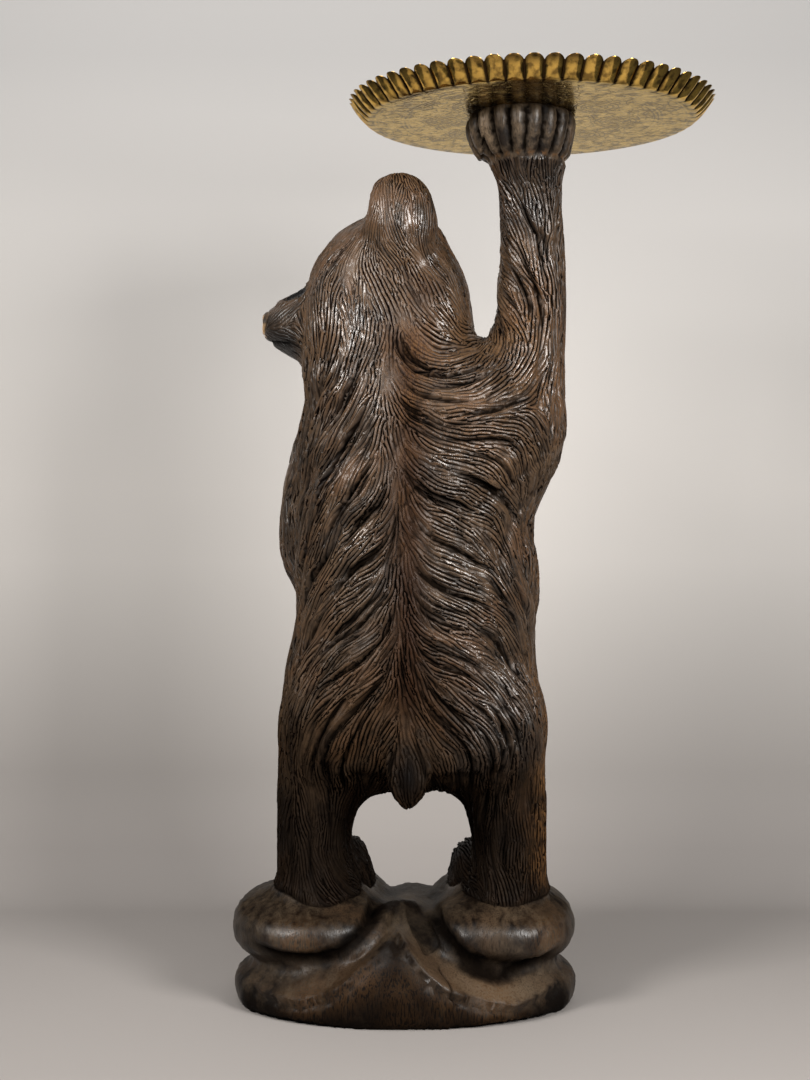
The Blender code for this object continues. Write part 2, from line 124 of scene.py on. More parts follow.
# Strokes on the back as x, z in millimetres, as seen from behind.
BACK_STROKES = [
    [(28, 838), (34, 812), (36, 787)], [(7, 848), (9, 816), (10, 785)], [(-13, 838), (-19, 812), (-20,
    786)], [(57, 799), (73, 786), (86, 765), (94, 744), (97, 722), (98, 696), (100, 671)], [(48, 783),
    (62, 765), (69, 746), (71, 728), (67, 699), (69, 673), (76, 648)], [(52, 756), (49, 735), (43, 709),
    (42, 683), (47, 651), (57, 626), (71, 607), (84, 584)], [(40, 772), (29, 750), (20, 727), (14, 704),
    (14, 677), (18, 653), (21, 632)], [(20, 776), (7, 758), (-5, 735), (-19, 708), (-36, 690), (-54, 682),
    (-74, 688)], [(-26, 787), (-39, 774), (-51, 752), (-62, 727), (-71, 704)], [(-3, 777), (-21, 760),
    (-40, 739), (-52, 715), (-65, 698), (-77, 696)], [(15, 750), (7, 725), (-4, 699), (-19, 678), (-41,
    669), (-64, 672), (-82, 685)], [(19, 704), (15, 680), (4, 661), (-15, 649), (-40, 644), (-66, 652),
    (-85, 668), (-95, 682)], [(145, 710), (129, 722), (111, 732)], [(143, 696), (128, 687), (113, 678)],
    [(95, 680), (98, 650), (104, 621), (114, 585), (121, 548), (126, 512)], [(76, 679), (80, 648), (89,
    626), (101, 599), (112, 569), (120, 532)], [(56, 678), (61, 652), (73, 627), (89, 605), (102, 578)],
    [(33, 677), (42, 646), (55, 623), (68, 608), (81, 590), (95, 565), (108, 535), (116, 506)], [(27,
    635), (34, 612), (44, 592), (55, 574), (70, 554), (84, 531), (96, 506), (104, 480)], [(19, 620), (25,
    592), (34, 568), (48, 544), (66, 523), (80, 500), (91, 475), (102, 449)], [(15, 590), (19, 562), (28,
    538), (43, 518), (60, 498), (74, 474), (89, 449)], [(17, 635), (16, 600), (14, 560), (11, 520), (7,
    470), (4, 420), (3, 371), (2, 322)], [(15, 653), (3, 634), (-19, 623), (-45, 618), (-72, 620), (-97,
    629), (-117, 647), (-132, 670), (-141, 700)], [(12, 628), (1, 612), (-19, 599), (-45, 593), (-75,
    594), (-105, 600), (-129, 599), (-145, 584), (-150, 557), (-147, 532)], [(12, 608), (4, 590), (-12,
    576), (-36, 568), (-63, 570), (-87, 570), (-104, 559), (-114, 541), (-123, 516)], [(11, 580), (2,
    562), (-15, 547), (-41, 534), (-67, 523), (-90, 512), (-109, 496), (-124, 475)], [(11, 558), (1, 538),
    (-18, 523), (-43, 514), (-67, 505), (-92, 488), (-113, 468), (-129, 444)], [(7, 530), (-3, 510), (-21,
    494), (-43, 480), (-67, 468), (-92, 452), (-113, 433), (-130, 410)], [(5, 505), (-7, 482), (-25, 465),
    (-47, 453), (-72, 443), (-93, 428), (-111, 409), (-125, 385)], [(3, 475), (-9, 452), (-29, 435), (-55,
    426), (-80, 418), (-101, 404), (-117, 384), (-129, 362)], [(2, 440), (-10, 420), (-27, 407), (-50,
    399), (-75, 392), (-96, 377), (-112, 358), (-125, 339)], [(1, 410), (-10, 391), (-25, 377), (-47,
    368), (-70, 360), (-92, 347), (-111, 329), (-126, 307)], [(1, 381), (-11, 361), (-30, 345), (-53,
    331), (-75, 316), (-92, 299), (-103, 279), (-107, 255), (-101, 228)], [(1, 353), (-10, 331), (-25,
    311), (-45, 293), (-63, 276), (-73, 255), (-71, 234)], [(1, 327), (-7, 304), (-19, 282), (-29, 262),
    (-35, 242)], [(1, 307), (0, 273), (-1, 245), (-3, 225)], [(10, 278), (12, 254), (9, 235)], [(-9, 278),
    (-14, 254), (-13, 235)], [(-116, 329), (-126, 304), (-131, 273), (-131, 235), (-129, 195), (-128,
    154), (-128, 114)], [(-100, 320), (-112, 295), (-116, 269), (-116, 238), (-110, 208), (-104, 175),
    (-105, 145), (-108, 110)], [(-93, 228), (-86, 204), (-85, 169), (-90, 142), (-95, 112)], [(-72, 216),
    (-71, 186), (-74, 161), (-81, 138), (-88, 116)], [(-138, 480), (-140, 438), (-138, 397), (-137, 355),
    (-138, 317)], [(8, 540), (16, 515), (31, 498), (51, 485), (71, 468), (88, 447), (102, 427)], [(7,
    505), (15, 480), (30, 464), (52, 452), (71, 435), (86, 414), (104, 390)], [(5, 470), (13, 445), (27,
    425), (47, 410), (68, 393), (88, 376), (107, 352)], [(5, 435), (12, 410), (27, 388), (47, 370), (67,
    356), (88, 339), (104, 316), (113, 289)], [(4, 400), (11, 376), (25, 355), (45, 339), (65, 322), (83,
    304), (96, 278), (102, 248), (98, 217), (88, 188)], [(3, 366), (9, 341), (22, 319), (39, 299), (54,
    279), (63, 255), (60, 234)], [(2, 331), (7, 310), (17, 287), (27, 264), (31, 245)], [(121, 522), (126,
    491), (124, 459), (117, 435)], [(113, 376), (121, 347), (124, 316), (126, 276), (127, 223), (129,
    171), (129, 121)], [(102, 358), (112, 328), (116, 293), (117, 246), (114, 205), (110, 165), (109,
    119)], [(84, 217), (84, 186), (84, 155), (77, 132), (64, 118)], [(66, 217), (68, 189), (67, 163), (61,
    141), (45, 123)], [(55, 164), (49, 143), (41, 128)], [(-56, 148), (-64, 136), (-75, 127)], [(-96,
    875), (-101, 856)], [(-112, 875), (-114, 854)], [(-128, 875), (-129, 854)], [(-144, 876), (-142,
    855)], [(-157, 878), (-151, 855)], [(-102, 847), (-111, 832), (-121, 815), (-131, 794), (-139, 773),
    (-145, 752)], [(-101, 824), (-112, 808), (-124, 788), (-134, 765), (-141, 741), (-143, 716)], [(-101,
    795), (-112, 780), (-124, 759), (-133, 735), (-135, 708)], [(-101, 768), (-114, 758), (-125, 743),
    (-132, 722), (-135, 695)], [(-100, 739), (-110, 727), (-120, 708), (-126, 684)], [(-97, 717), (-106,
    702), (-113, 684), (-116, 667)], [(-147, 846), (-148, 813), (-152, 778), (-157, 738), (-159, 697),
    (-159, 656), (-158, 624)], [(-133, 847), (-140, 823), (-144, 792), (-148, 763), (-150, 727), (-148,
    685), (-139, 656), (-120, 630), (-98, 619)], [(-128, 682), (-113, 659), (-94, 642), (-71, 634), (-47,
    632), (-23, 638)],
]
# The same for the front, also as x, z.
FRONT_STROKES = [
    [(57, 799), (73, 786), (86, 765), (94, 744), (97, 722)], [(30, 772), (26, 740), (22, 700), (24, 660)],
    [(60, 762), (62, 720), (60, 680), (62, 640)], [(-10, 782), (-30, 750), (-45, 715), (-55, 680)],
    [(-5, 745), (-10, 700), (-15, 655)], [(5, 850), (5, 790)],
    [(-10, 640), (-10, 560), (-8, 480), (-6, 420), (-6, 340), (-6, 250)],
    [(-4, 640), (15, 612), (45, 586), (72, 566)], [(-4, 590), (18, 562), (42, 542)],
    [(-16, 640), (-35, 612), (-65, 586), (-100, 560), (-125, 530)],
    [(-16, 590), (-40, 560), (-70, 536), (-105, 505), (-122, 480)],
    [(-14, 540), (-40, 510), (-75, 480), (-110, 445), (-125, 415)],
    [(-12, 490), (-36, 462), (-70, 432), (-105, 400), (-125, 370)],
    [(-4, 440), (20, 412), (50, 386), (85, 360), (112, 330)],
    [(-4, 390), (20, 362), (50, 336), (85, 306), (112, 272)],
    [(-4, 340), (18, 312), (45, 288), (75, 262), (98, 225), (100, 180)],
    [(-4, 290), (14, 268), (34, 250), (52, 230)],
    [(-8, 440), (-30, 412), (-60, 386), (-95, 360), (-122, 330)],
    [(-8, 390), (-30, 362), (-60, 336), (-95, 306), (-122, 272)],
    [(-8, 340), (-28, 312), (-55, 288), (-85, 262), (-108, 225), (-110, 180)],
    [(-8, 290), (-24, 268), (-44, 250), (-62, 230)],
    [(75, 240), (84, 190), (88, 160)], [(110, 240), (112, 190), (110, 160)],
    [(-85, 240), (-94, 190), (-98, 160)], [(-122, 240), (-122, 190), (-120, 160)],
    [(100, 468), (80, 476), (55, 490), (38, 500)], [(106, 500), (72, 504), (46, 518)],
    [(-105, 862), (-110, 820), (-120, 770), (-125, 720), (-120, 680)],
    [(-140, 862), (-145, 800), (-148, 740), (-150, 680), (-146, 620), (-142, 560)],
]
# The left side, seen from the muzzle's side, and the right side: y, z.
LEFT_STROKES = [
    [(-20, 745), (-20, 782), (-15, 815)], [(20, 730), (38, 705), (42, 670), (36, 640)],
    [(-60, 730), (-78, 705), (-82, 670), (-76, 640)], [(12, 752), (28, 780), (38, 812)],
    [(-52, 752), (-62, 780), (-54, 812)], [(-20, 672), (-20, 640), (-20, 600)],
    [(-20, 612), (-22, 560), (-24, 500), (-26, 450)], [(12, 600), (8, 540), (2, 470)],
    [(-50, 600), (-52, 540), (-50, 486)], [(44, 640), (46, 590), (46, 540), (42, 480)],
    [(42, 440), (30, 400), (24, 350), (22, 300), (20, 250), (20, 200), (18, 150), (16, 120)],
    [(0, 420), (-4, 370), (-6, 320), (-4, 270), (0, 220), (0, 160), (0, 122)],
    [(-40, 420), (-45, 380), (-48, 330), (-42, 280), (-26, 235), (-18, 180), (-14, 130)],
    [(-75, 420), (-80, 380), (-84, 330), (-76, 280)], [(80, 420), (74, 370), (68, 320), (60, 270)],
    [(50, 240), (48, 190), (50, 140)],
]
RIGHT_STROKES = [
    [(12, 862), (8, 780), (5, 700), (2, 620), (0, 540), (0, 460), (0, 380), (2, 300), (8, 230),
     (12, 160), (12, 120)],
    [(-40, 640), (-45, 600), (-42, 560), (-38, 500), (-40, 420), (-45, 340), (-42, 280), (-26, 235),
     (-16, 150)],
    [(45, 640), (50, 600), (48, 540), (42, 480), (42, 420), (40, 350), (40, 290), (38, 230), (40, 150)],
    [(-75, 560), (-78, 480), (-80, 400), (-84, 330), (-76, 280)],
    [(80, 500), (78, 440), (74, 370), (68, 320), (60, 270)],
    [(-10, 792), (-10, 750), (-8, 700), (-5, 662)], [(-20, 860), (-22, 800), (-24, 740), (-30, 690)],
    [(40, 850), (42, 800), (40, 740), (42, 690)],
]
# The tops of the feet and of the head, seen from above: x, y.
TOP_STROKES = [
    [(84, -10), (84, -60), (84, -108)], [(60, -20), (58, -60), (60, -105)],
    [(108, -20), (110, -60), (108, -105)], [(-98, -10), (-98, -60), (-98, -108)],
    [(-74, -20), (-72, -60), (-74, -105)], [(-122, -20), (-124, -60), (-122, -105)],
    [(62, -10), (34, -8), (5, -8), (-24, -8)],
]
STROKE_STEP = 0.010         # between two readings along a stroke
STROKE_REACH = 0.016        # how far around a stroke the fur obeys it
FURROW = 0.0040             # from one furrow to the next, on average
TUFT = 0.0125               # the same for the tufts that it makes up
LOCK = 0.0360               # the same for whole locks


def read_strokes(strokes, across, up, toward):
    """Places, directions and normals along strokes that are seen along one axis."""
    depth_axis = 3 - across - up
    facing = np.flatnonzero(form_normals[:, depth_axis] * toward > 0.12)
    seen, seen_normals = form[facing], form_normals[facing]
    found = []
    for stroke in strokes:
        corners = np.array(stroke) * 0.001
        for a, b in zip(corners, corners[1:]):
            length = math.hypot(*(b - a))
            for t in np.arange(STROKE_STEP / 2, length, STROKE_STEP) / length:
                spot = a + (b - a) * t
                away = np.hypot(seen[:, across] - spot[0], seen[:, up] - spot[1])
                near = np.flatnonzero(away < max(0.005, away.min() + 0.002))
                pick = near[np.argmax(seen[near, depth_axis] * toward)]
                normal = seen_normals[pick]
                way = np.zeros(3)
                way[[across, up]] = (b - a) / length
                way[depth_axis] = -(way @ normal) / normal[depth_axis]
                found.append((seen[pick], way / np.linalg.norm(way), normal))
    return found


form, form_normals = read_points(bear.data)
found = (read_strokes(BACK_STROKES, 0, 2, 1) + read_strokes(FRONT_STROKES, 0, 2, -1)
         + read_strokes(LEFT_STROKES, 1, 2, 1) + read_strokes(RIGHT_STROKES, 1, 2, -1)
         + read_strokes(TOP_STROKES, 0, 1, 1))
stroke_at, stroke_way, stroke_normal = (np.array(column) for column in zip(*found))

# Every point of the form averages the strokes near it into the lie of its fur.
grain = np.zeros((len(form), 3, 3))
outer_products = np.einsum("ki,kj->kij", stroke_way, stroke_way).reshape(-1, 9)
for start in range(0, len(form), 4000):
    part = slice(start, start + 4000)
    away = np.linalg.norm(form[part, None] - stroke_at[None], axis=2) / STROKE_REACH
    same_side = np.clip(form_normals[part] @ stroke_normal.T, 0.02, 1) ** 2
    weight = same_side * (np.exp(-away ** 2) + 2e-3 / (1 + away ** 2) ** 2)
    total = (weight @ outer_products) / weight.sum(axis=1)[:, None]
    grain[part] = total.reshape(-1, 3, 3)


def principal_way(tensors):
    """The main direction of each tensor within its point's tangent plane."""
    flat = np.eye(3) - np.einsum("ni,nj->nij", form_normals, form_normals)
    tensors = np.einsum("nij,njk,nkl->nil", flat, tensors, flat)
    return np.linalg.eigh(tensors)[1][:, :, 2]


def waver(points, size, seed):
    """A smooth random field between about -1 and 1, with swells of the given size."""
    chance = np.random.default_rng(seed)
    waves = chance.normal(size=(14, 3))
    waves *= 2 * math.pi / size / np.linalg.norm(waves, axis=1)[:, None]
    start = chance.uniform(0, 2 * math.pi, 14)
    return np.sin(points @ waves.T + start).sum(axis=1) / math.sqrt(14)


def unit(vectors):
    """Each vector at a length of 1."""
    return vectors / np.maximum(np.linalg.norm(vectors, axis=1), 1e-12)[:, None]


for _ in range(6):
    grain = 0.4 * grain + 0.6 * gather(grain[to_end]) / neighbours[:, None, None]
lie = principal_way(grain)
wander = 0.09 * waver(form, 0.038, 5) + 0.03 * waver(form, 0.016, 6)
across_fur = np.cross(form_normals, lie)
lie = unit(lie + across_fur * wander[:, None])

# Each furrow is cut beside the last one. A phase that grows across the fur counts them: it is
# carried from point to point over the form, then evened out until neighbours agree.


def count_across(sideways, pitch, rounds):
    """A phase at every point of the form, as a complex number on the unit circle."""
    same = np.sign(np.einsum("ni,ni->n", sideways[from_end], sideways[to_end]))
    same[same == 0] = 1
    middle = unit(sideways[from_end] + same[:, None] * sideways[to_end])
    step = np.einsum("ni,ni->n", middle, form[from_end] - form[to_end])
    step *= math.pi * (1 / pitch[from_end] + 1 / pitch[to_end])
    turn = np.exp(1j * step)
    order = np.argsort(from_end, kind="stable")
    first = np.searchsorted(from_end[order], np.arange(len(form) + 1))
    sorted_to, sorted_turn, sorted_same = to_end[order], turn[order], same[order]
    phase = np.zeros(len(form), dtype=complex)
    seed = int(np.argmin(np.linalg.norm(form - (0.06, 0.09, 0.5), axis=1)))
    phase[seed] = 1
    queue, reached = [seed], {seed}
    for i in queue:
        for k in range(first[i], first[i + 1]):
            j = int(sorted_to[k])
            if j not in reached:
                reached.add(j)
                queue.append(j)
                grown = phase[i] * sorted_turn[k].conjugate()
                phase[j] = grown if sorted_same[k] > 0 else grown.conjugate()
    for _ in range(rounds):
        known = phase[to_end]
        known = np.where(same > 0, known, known.conj()) * turn
        total = np.bincount(from_end, known.real) + 1j * np.bincount(from_end, known.imag)
        total += 1.5 * phase
        phase = total / np.maximum(np.abs(total), 1e-9)
    return phase


def draw_out(seed, passes, places, way, quads):
    """Random values over a skin of quads, drawn out along the fur."""
    a = quads[:, [0, 1, 2, 3, 0, 0, 1, 1]].ravel()
    b = quads[:, [1, 2, 3, 0, 2, 2, 3, 3]].ravel()
    step = places[b] - places[a]
    step /= np.linalg.norm(step, axis=1)[:, None]
    pull_a = np.einsum("ni,ni->n", way[a], step) ** 8 + 0.001
    pull_b = np.einsum("ni,ni->n", way[b], step) ** 8 + 0.001
    total = np.bincount(a, pull_a) + np.bincount(b, pull_b)
    values = np.random.default_rng(seed).normal(size=len(places))
    for _ in range(passes):
        pulled = np.bincount(a, pull_a * values[b]) + np.bincount(b, pull_b * values[a])
        values = 0.2 * values + 0.8 * pulled / total
    return values / values.std()


def find_nearest(places, targets, count):
    """For each target, which of the places are nearest to it."""
    tree = kdtree.KDTree(len(places))
    for i, place in enumerate(places):
        tree.insert(place, i)
    tree.balance()
    return np.array([[hit[1] for hit in tree.find_n(target, count)] for target in targets])


def read_quads(mesh):
    """The corners of every face of a mesh that has only quads."""
    corners = np.empty(len(mesh.loops), dtype=np.int32)
    mesh.loops.foreach_get("vertex_index", corners)
    return corners.reshape(-1, 4)


def ease(t):
    """A smooth step from 0 to 1."""
    t = np.clip(t, 0.0, 1.0)
    return t * t * (3.0 - 2.0 * t)


HEAD_FOOT = 0.665           # the height of the neck
ARM_SIDE = -0.085           # the raised arm is on the far side of this x


def over_neck(places):
    """0 below the neck, 1 on the head, and 0 on the raised arm beside it."""
    return ease((places[:, 2] - HEAD_FOOT) / 0.05) * (places[:, 0] > ARM_SIDE)


# Neighbouring strokes of the gouge don't run quite parallel, so three sets of furrows, each
# turned a little, take turns over the coat.
STROKE_TURNS = (0.15, -0.15, 0.0)
on_head = over_neck(form)
on_legs = ease((0.27 - form[:, 2]) / 0.05)
on_crown = ease((form[:, 2] - 0.745) / 0.03) * (form[:, 0] > ARM_SIDE)
combs = []
for k, lean in enumerate(STROKE_TURNS):
    lean = lean * (1 + 0.15 * on_head) + 0.05 * waver(form, 0.024, 60 + k)
    sideways = unit(np.cross(form_normals, unit(lie + across_fur * lean[:, None])))
    pitch = FURROW * (1 + 0.10 * waver(form, 0.045, 70 + k)) * (1 - 0.30 * on_crown - 0.20 * on_legs)
    combs.append((sideways, pitch, count_across(sideways, pitch, 50)))
across_fur = unit(np.cross(form_normals, lie))
tuft_pitch = TUFT * (1 + 0.2 * waver(form, 0.080, 8))
tuft_phase = count_across(across_fur, tuft_pitch, 50)
lock_pitch = LOCK * (1 + 0.2 * waver(form, 0.150, 9))
lock_phase = count_across(across_fur, lock_pitch, 50)

form_quads = read_quads(bear.data)
firm_strokes = draw_out(11, 9, form, lie, form_quads)
firm_tufts = draw_out(12, 24, form, lie, form_quads)
broad_tone = draw_out(13, 16, form, lie, form_quads)
whose_turn = draw_out(14, 7, form, lie, form_quads)

finer = bear.modifiers.new("finer", "SUBSURF")
finer.levels = finer.render_levels = 2
apply_modifiers(bear)
keep_level(bear)
points, normals = read_points(bear.data)
quads = read_quads(bear.data)
nearest = find_nearest(form, points, 3)
offset = points[:, None] - form[nearest]
share = np.exp(-(offset ** 2).sum(axis=2) / 0.003 ** 2)
share /= share.sum(axis=1)[:, None]


def blend(values):
    """Values of the form at the fine points."""
    return (share * values[nearest]).sum(axis=1)


def blend_phase(sideways, pitch, phase):
    """The phase at the fine points, each in step with its nearest point of the form."""
    sides = sideways[nearest]
    value = phase[nearest] * np.exp(2j * math.pi / pitch[nearest]
                                    * np.einsum("nki,nki->nk", sides, offset))
    same = np.einsum("nki,ni->nk", sides, sides[:, 0]) >= 0
    return np.angle((share * np.where(same, value, value.conj())).sum(axis=1))


def flatten(vectors):
    """Vectors of the fine points, laid into the skin."""
    return unit(vectors - normals * np.einsum("ni,ni->n", vectors, normals)[:, None])


across = flatten(across_fur[nearest[:, 0]])
along = np.cross(across, normals)
hair = draw_out(15, 26, points, along, quads)
hair_tone = draw_out(16, 34, points, along, quads)
picked = blend(whose_turn) + (0.20 + 0.20 * over_neck(points)) * draw_out(17, 16, points, along, quads)
comb = np.where(picked > 0.35, 0, np.where(picked < -0.35, 1, 2))
comb_across = np.array([flatten(sideways[nearest[:, 0]]) for sideways, _, _ in combs])
comb_pitch = np.array([pitch[nearest[:, 0]] for _, pitch, _ in combs])
comb_count = np.array([blend_phase(*each) for each in combs])
tuft_count = blend_phase(across_fur, tuft_pitch, tuft_phase)
lock_count = blend_phase(across_fur, lock_pitch, lock_phase)
stroke_firm, tuft_firm, tone_and_painted_light = blend(firm_strokes), blend(firm_tufts), blend(broad_tone)

# Points slide sideways by up to 0.6 mm, onto the furrows and the crests.
SLIDE = 0.98                # in the phase of a furrow, of which a whole one is 2 pi
own = np.arange(len(points))
count = comb_count[comb, own]
from_crest = np.angle(np.exp(1j * (count - math.pi)))
slide = np.where(np.abs(count) < SLIDE, count, 0)
slide = np.where(np.abs(from_crest) < SLIDE, from_crest, slide)
points = points - comb_across[comb, own] * (slide / (2 * math.pi) * comb_pitch[comb, own])[:, None]
comb_count[comb, own] = count - slide
count = count - slide

# Deep cuts part the locks. Each follows the lie of the fur both ways from its middle.

# The big cuts on the back as x, z, x, z in millimetres from end to end, as seen from behind.
BACK_LOCKS = [
    (49, 597, 92, 538), (40, 547, 85, 499), (24, 514, 66, 484), (24, 463, 70, 437),
    (26, 416, 85, 368), (21, 386, 79, 331), (84, 470, 112, 422), (90, 400, 118, 352),
    (54, 636, 76, 604), (66, 655, 92, 620), (96, 560, 116, 512), (22, 344, 70, 296),
    (4, 681, -50, 624), (-5, 613, -50, 597), (-19, 523, -60, 509), (-66, 543, -115, 513),
    (-29, 477, -89, 440), (-22, 444, -80, 413), (-22, 410, -54, 391), (-22, 365, -77, 342),
    (-90, 384, -118, 348), (-19, 325, -58, 286), (-94, 304, -118, 268), (-92, 432, -122, 400),
    (-58, 585, -112, 566), (-72, 628, -126, 604),
    (60, 322, 108, 262), (28, 300, 80, 232), (-70, 322, -122, 262), (-34, 296, -92, 230),
    (-112, 806, -146, 772), (-110, 756, -150, 716),
]
FRONT_LOCKS = [
    (16, 628, 58, 588), (14, 592, 66, 548), (14, 452, 70, 416), (16, 412, 78, 370),
    (16, 368, 82, 322), (18, 322, 84, 276), (60, 300, 104, 236),
]
FRONT_LOCKS += [(-x0 - 10, z0, -x1 - 10, z1) for x0, z0, x1, z1 in FRONT_LOCKS]
# Lesser cuts on the back: the middle as x, z, and the length.
BACK_CUTS = [
    (-21, 659, 57), (65, 623, 66), (67, 567, 64), (59, 523, 66), (-27, 625, 68), (-22, 601, 50),
    (-101, 559, 64), (-87, 529, 48), (-25, 520, 60), (-60, 460, 90), (-32, 439, 46),
    (-42, 406, 62), (-52, 364, 72), (-106, 364, 42), (-45, 319, 60), (-108, 293, 50),
    (43, 501, 44), (45, 453, 54), (53, 403, 68), (55, 356, 50), (104, 486, 70), (-118, 738, 60),
    (-6, 672, 40), (-60, 640, 50), (20, 250, 60), (-26, 252, 60), (84, 268, 60), (-90, 262, 60),
]
CUT_STEP = 0.004            # between two readings along a cut
RANDOM_CUTS = 260


def trace_cut(middle, length, depth):
    """Follow the fur from the middle of a cut: places, directions, normals and depths."""
    half = max(2, int(round(length / 2 / CUT_STEP)))
    ends = []
    for sense in (1, -1):
        spot, way, run = form[middle], sense * lie[middle], []
        for _ in range(half):
            spot = spot + way * CUT_STEP
            near = form_tree.find(spot)[1]
            spot = spot - form_normals[near] * ((spot - form[near]) @ form_normals[near])
            way = lie[near] * math.copysign(1, lie[near] @ way)
            run.append((spot, sense * way, form_normals[near]))
        ends.append(run)
    run = ends[1][::-1] + [(form[middle], lie[middle], form_normals[middle])] + ends[0]
    total = len(run)
    return [(*reading, depth * math.sin(math.pi * (k + 0.5) / total) ** 0.6)
            for k, reading in enumerate(run)]


form_tree = kdtree.KDTree(len(form))
for i, place in enumerate(form):
    form_tree.insert(place, i)
form_tree.balance()


def surface_point(x, z, facing):
    """The point of the form at x, z that is nearest to the viewer."""
    away = np.hypot(form[:, 0] - x, form[:, 2] - z)
    near = np.flatnonzero((away < 0.006) & (form_normals[:, 1] * facing > 0.1))
    if len(near) == 0:
        return int(np.argmin(away - 0.02 * form_normals[:, 1] * facing))
    return int(near[np.argmax(form[near, 1] * facing)])


cuts = []
for rows, facing in ((BACK_LOCKS, 1), (FRONT_LOCKS, -1)):
    for x0, z0, x1, z1 in rows:
        middle = surface_point((x0 + x1) / 2000, (z0 + z1) / 2000, facing)
        cuts += trace_cut(middle, 0.0015 * math.hypot(x1 - x0, z1 - z0), 0.0054)
for x, z, length in BACK_CUTS:
    cuts += trace_cut(surface_point(x / 1000, z / 1000, 1), 0.0011 * length, 0.0042)
chance = np.random.default_rng(21)
for middle in chance.integers(len(form), size=RANDOM_CUTS):
    cuts += trace_cut(int(middle), chance.uniform(0.025, 0.060), chance.uniform(0.0012, 0.0030))
cut_at, cut_way, cut_normal, cut_depth = (np.array(column) for column in zip(*cuts))
cut_near = find_nearest(cut_at, points, 1)[:, 0]
cut_side = np.cross(cut_normal, cut_way)
cut_side *= np.where(cut_side[:, 2] < 0, -1, 1)[:, None]
above = np.einsum("ni,ni->n", points - cut_at[cut_near], cut_side[cut_near])
past = np.einsum("ni,ni->n", points - cut_at[cut_near], cut_way[cut_near])
reach = np.exp(-(past / (1.2 * CUT_STEP)) ** 4) * cut_depth[cut_near]
cut = reach * np.exp(-(above / 0.0018) ** 2)
swell = np.exp(-((above - 0.006) / 0.0042) ** 2) - 0.35 * np.exp(-((above + 0.005) / 0.004) ** 2)
swell *= reach

# The gouge leaves furrows, tufts and whole locks that lie over each other like shingles. The
# legs end on the bare stones in a sharp line, and the raised paw's fingers are smooth.


def shingle(counted, steepness):
    """From 0 in a cut to 1 on a crest that drops steeply into the next cut below it."""
    down = np.where(across[:, 2] > 0, -counted, counted)
    t = np.mod(down / (2 * math.pi), 1)
    lapped = np.where(t < steepness, t / steepness, (1 - t) / (1 - steepness)) ** 0.8
    even = np.abs(np.sin(counted / 2)) ** 0.8
    slant = ease(np.abs(across[:, 2]) / 0.4)
    return slant * lapped + (1 - slant) * even


x, y, z = points.T
LEGS_X, FEET_X = (0.0915, -0.1055), (0.084, -0.098)
from_leg = np.minimum(*[((x - at) / 0.0455) ** 2 + ((y - 0.013) / 0.065) ** 2 for at in LEGS_X])
from_foot = np.minimum(*[((x - at) / 0.0525) ** 2 + ((y + 0.048) / 0.081) ** 2 for at in FEET_X])
on_leg = ease((1.03 - from_leg) / 0.08) * ease((z - 0.098) / 0.003)
on_foot = ease((1.0 - from_foot) / 0.06) * ease((z - 0.108) / 0.003)
furry = np.maximum(np.maximum(on_leg, on_foot), ease((z - 0.1215) / 0.003))
fringe = 4 * furry * (1 - furry) * (z < 0.125)
at_paw = (x < -0.05) & (z > 0.80)
at_head = over_neck(points)
at_muzzle = ease((x - 0.108) / 0.012) * (z > 0.6)
at_toes = ease((-0.106 - y) / 0.012) * (z < 0.16) * ease((z - 0.101) / 0.007)
furry *= 1 - at_paw * ease((z - 0.866) / 0.003)
furry *= 1 - at_toes

strand = 1 - (1 - np.abs(np.sin(count / 2))) ** 2
firm = np.clip(1.0 + 0.38 * stroke_firm, 0.2, 1.8) * (1 - 0.2 * at_head) * (1 - 0.75 * at_muzzle)
relief = furry * firm * 0.00150 * (strand - 0.72) + furry * 0.00012 * hair
bold = np.clip(0.9 + 0.5 * tuft_firm, 0.1, 2.0) * (1 - 0.8 * at_head) * (1 - at_muzzle)
tuft, lock = shingle(tuft_count, 0.72), shingle(lock_count, 0.78)
relief += furry * bold * 0.0019 * (tuft - 0.6)
relief += furry * (1 - 0.9 * at_head) * 0.0026 * (lock - 0.55)
shaded = np.clip(0.50 * bold * ease((0.38 - tuft) / 0.38), 0, 0.6)
shaded = np.maximum(shaded, 0.65 * (1 - 0.9 * at_head) * ease((0.25 - lock) / 0.25))
relief += furry * (1 - at_muzzle) * (1 - 0.6 * at_head) * (0.32 * swell - cut)
relief += 0.0012 * furry * ease((0.135 - z) / 0.02) - 0.0018 * fringe
relief += 0.0022 * ease((z - 0.785) / 0.02) * (x > -0.08)
relief -= (0.0060 * ease((-normals[:, 2] - 0.15) / 0.45) * ease((0.105 - y) / 0.01)
           * ease((z - 0.19) / 0.03) * (z < 0.30) * ease((0.10 - np.abs(x + 0.005)) / 0.02))

# Fingers round the raised paw, with gaps between them.
FINGERS = 18
turn = np.arctan2((x + 0.1205) / 0.054, (y - 0.037) / 0.065)
finger = np.abs(np.sin(0.5 * FINGERS * turn + 0.2 * np.sin((z - 0.866) * 50)))
held = at_paw * ease((z - 0.8680) / 0.004) * ease((0.9174 - z) / 0.003)
relief += held * (0.0062 * (finger ** 0.6 - 0.72) + 0.00025 * waver(points, 0.004, 40))
relief -= 0.0030 * held * ease((0.878 - z) / 0.008) * finger
gap = held * ease((0.62 - finger) / 0.28)
# A bright band on each finger's lower end: partly wear, partly a painted highlight.
knuckle_wear_and_highlight = held * ease((finger - 0.55) / 0.2) * np.exp(-((z - 0.8712) / 0.0020) ** 2)

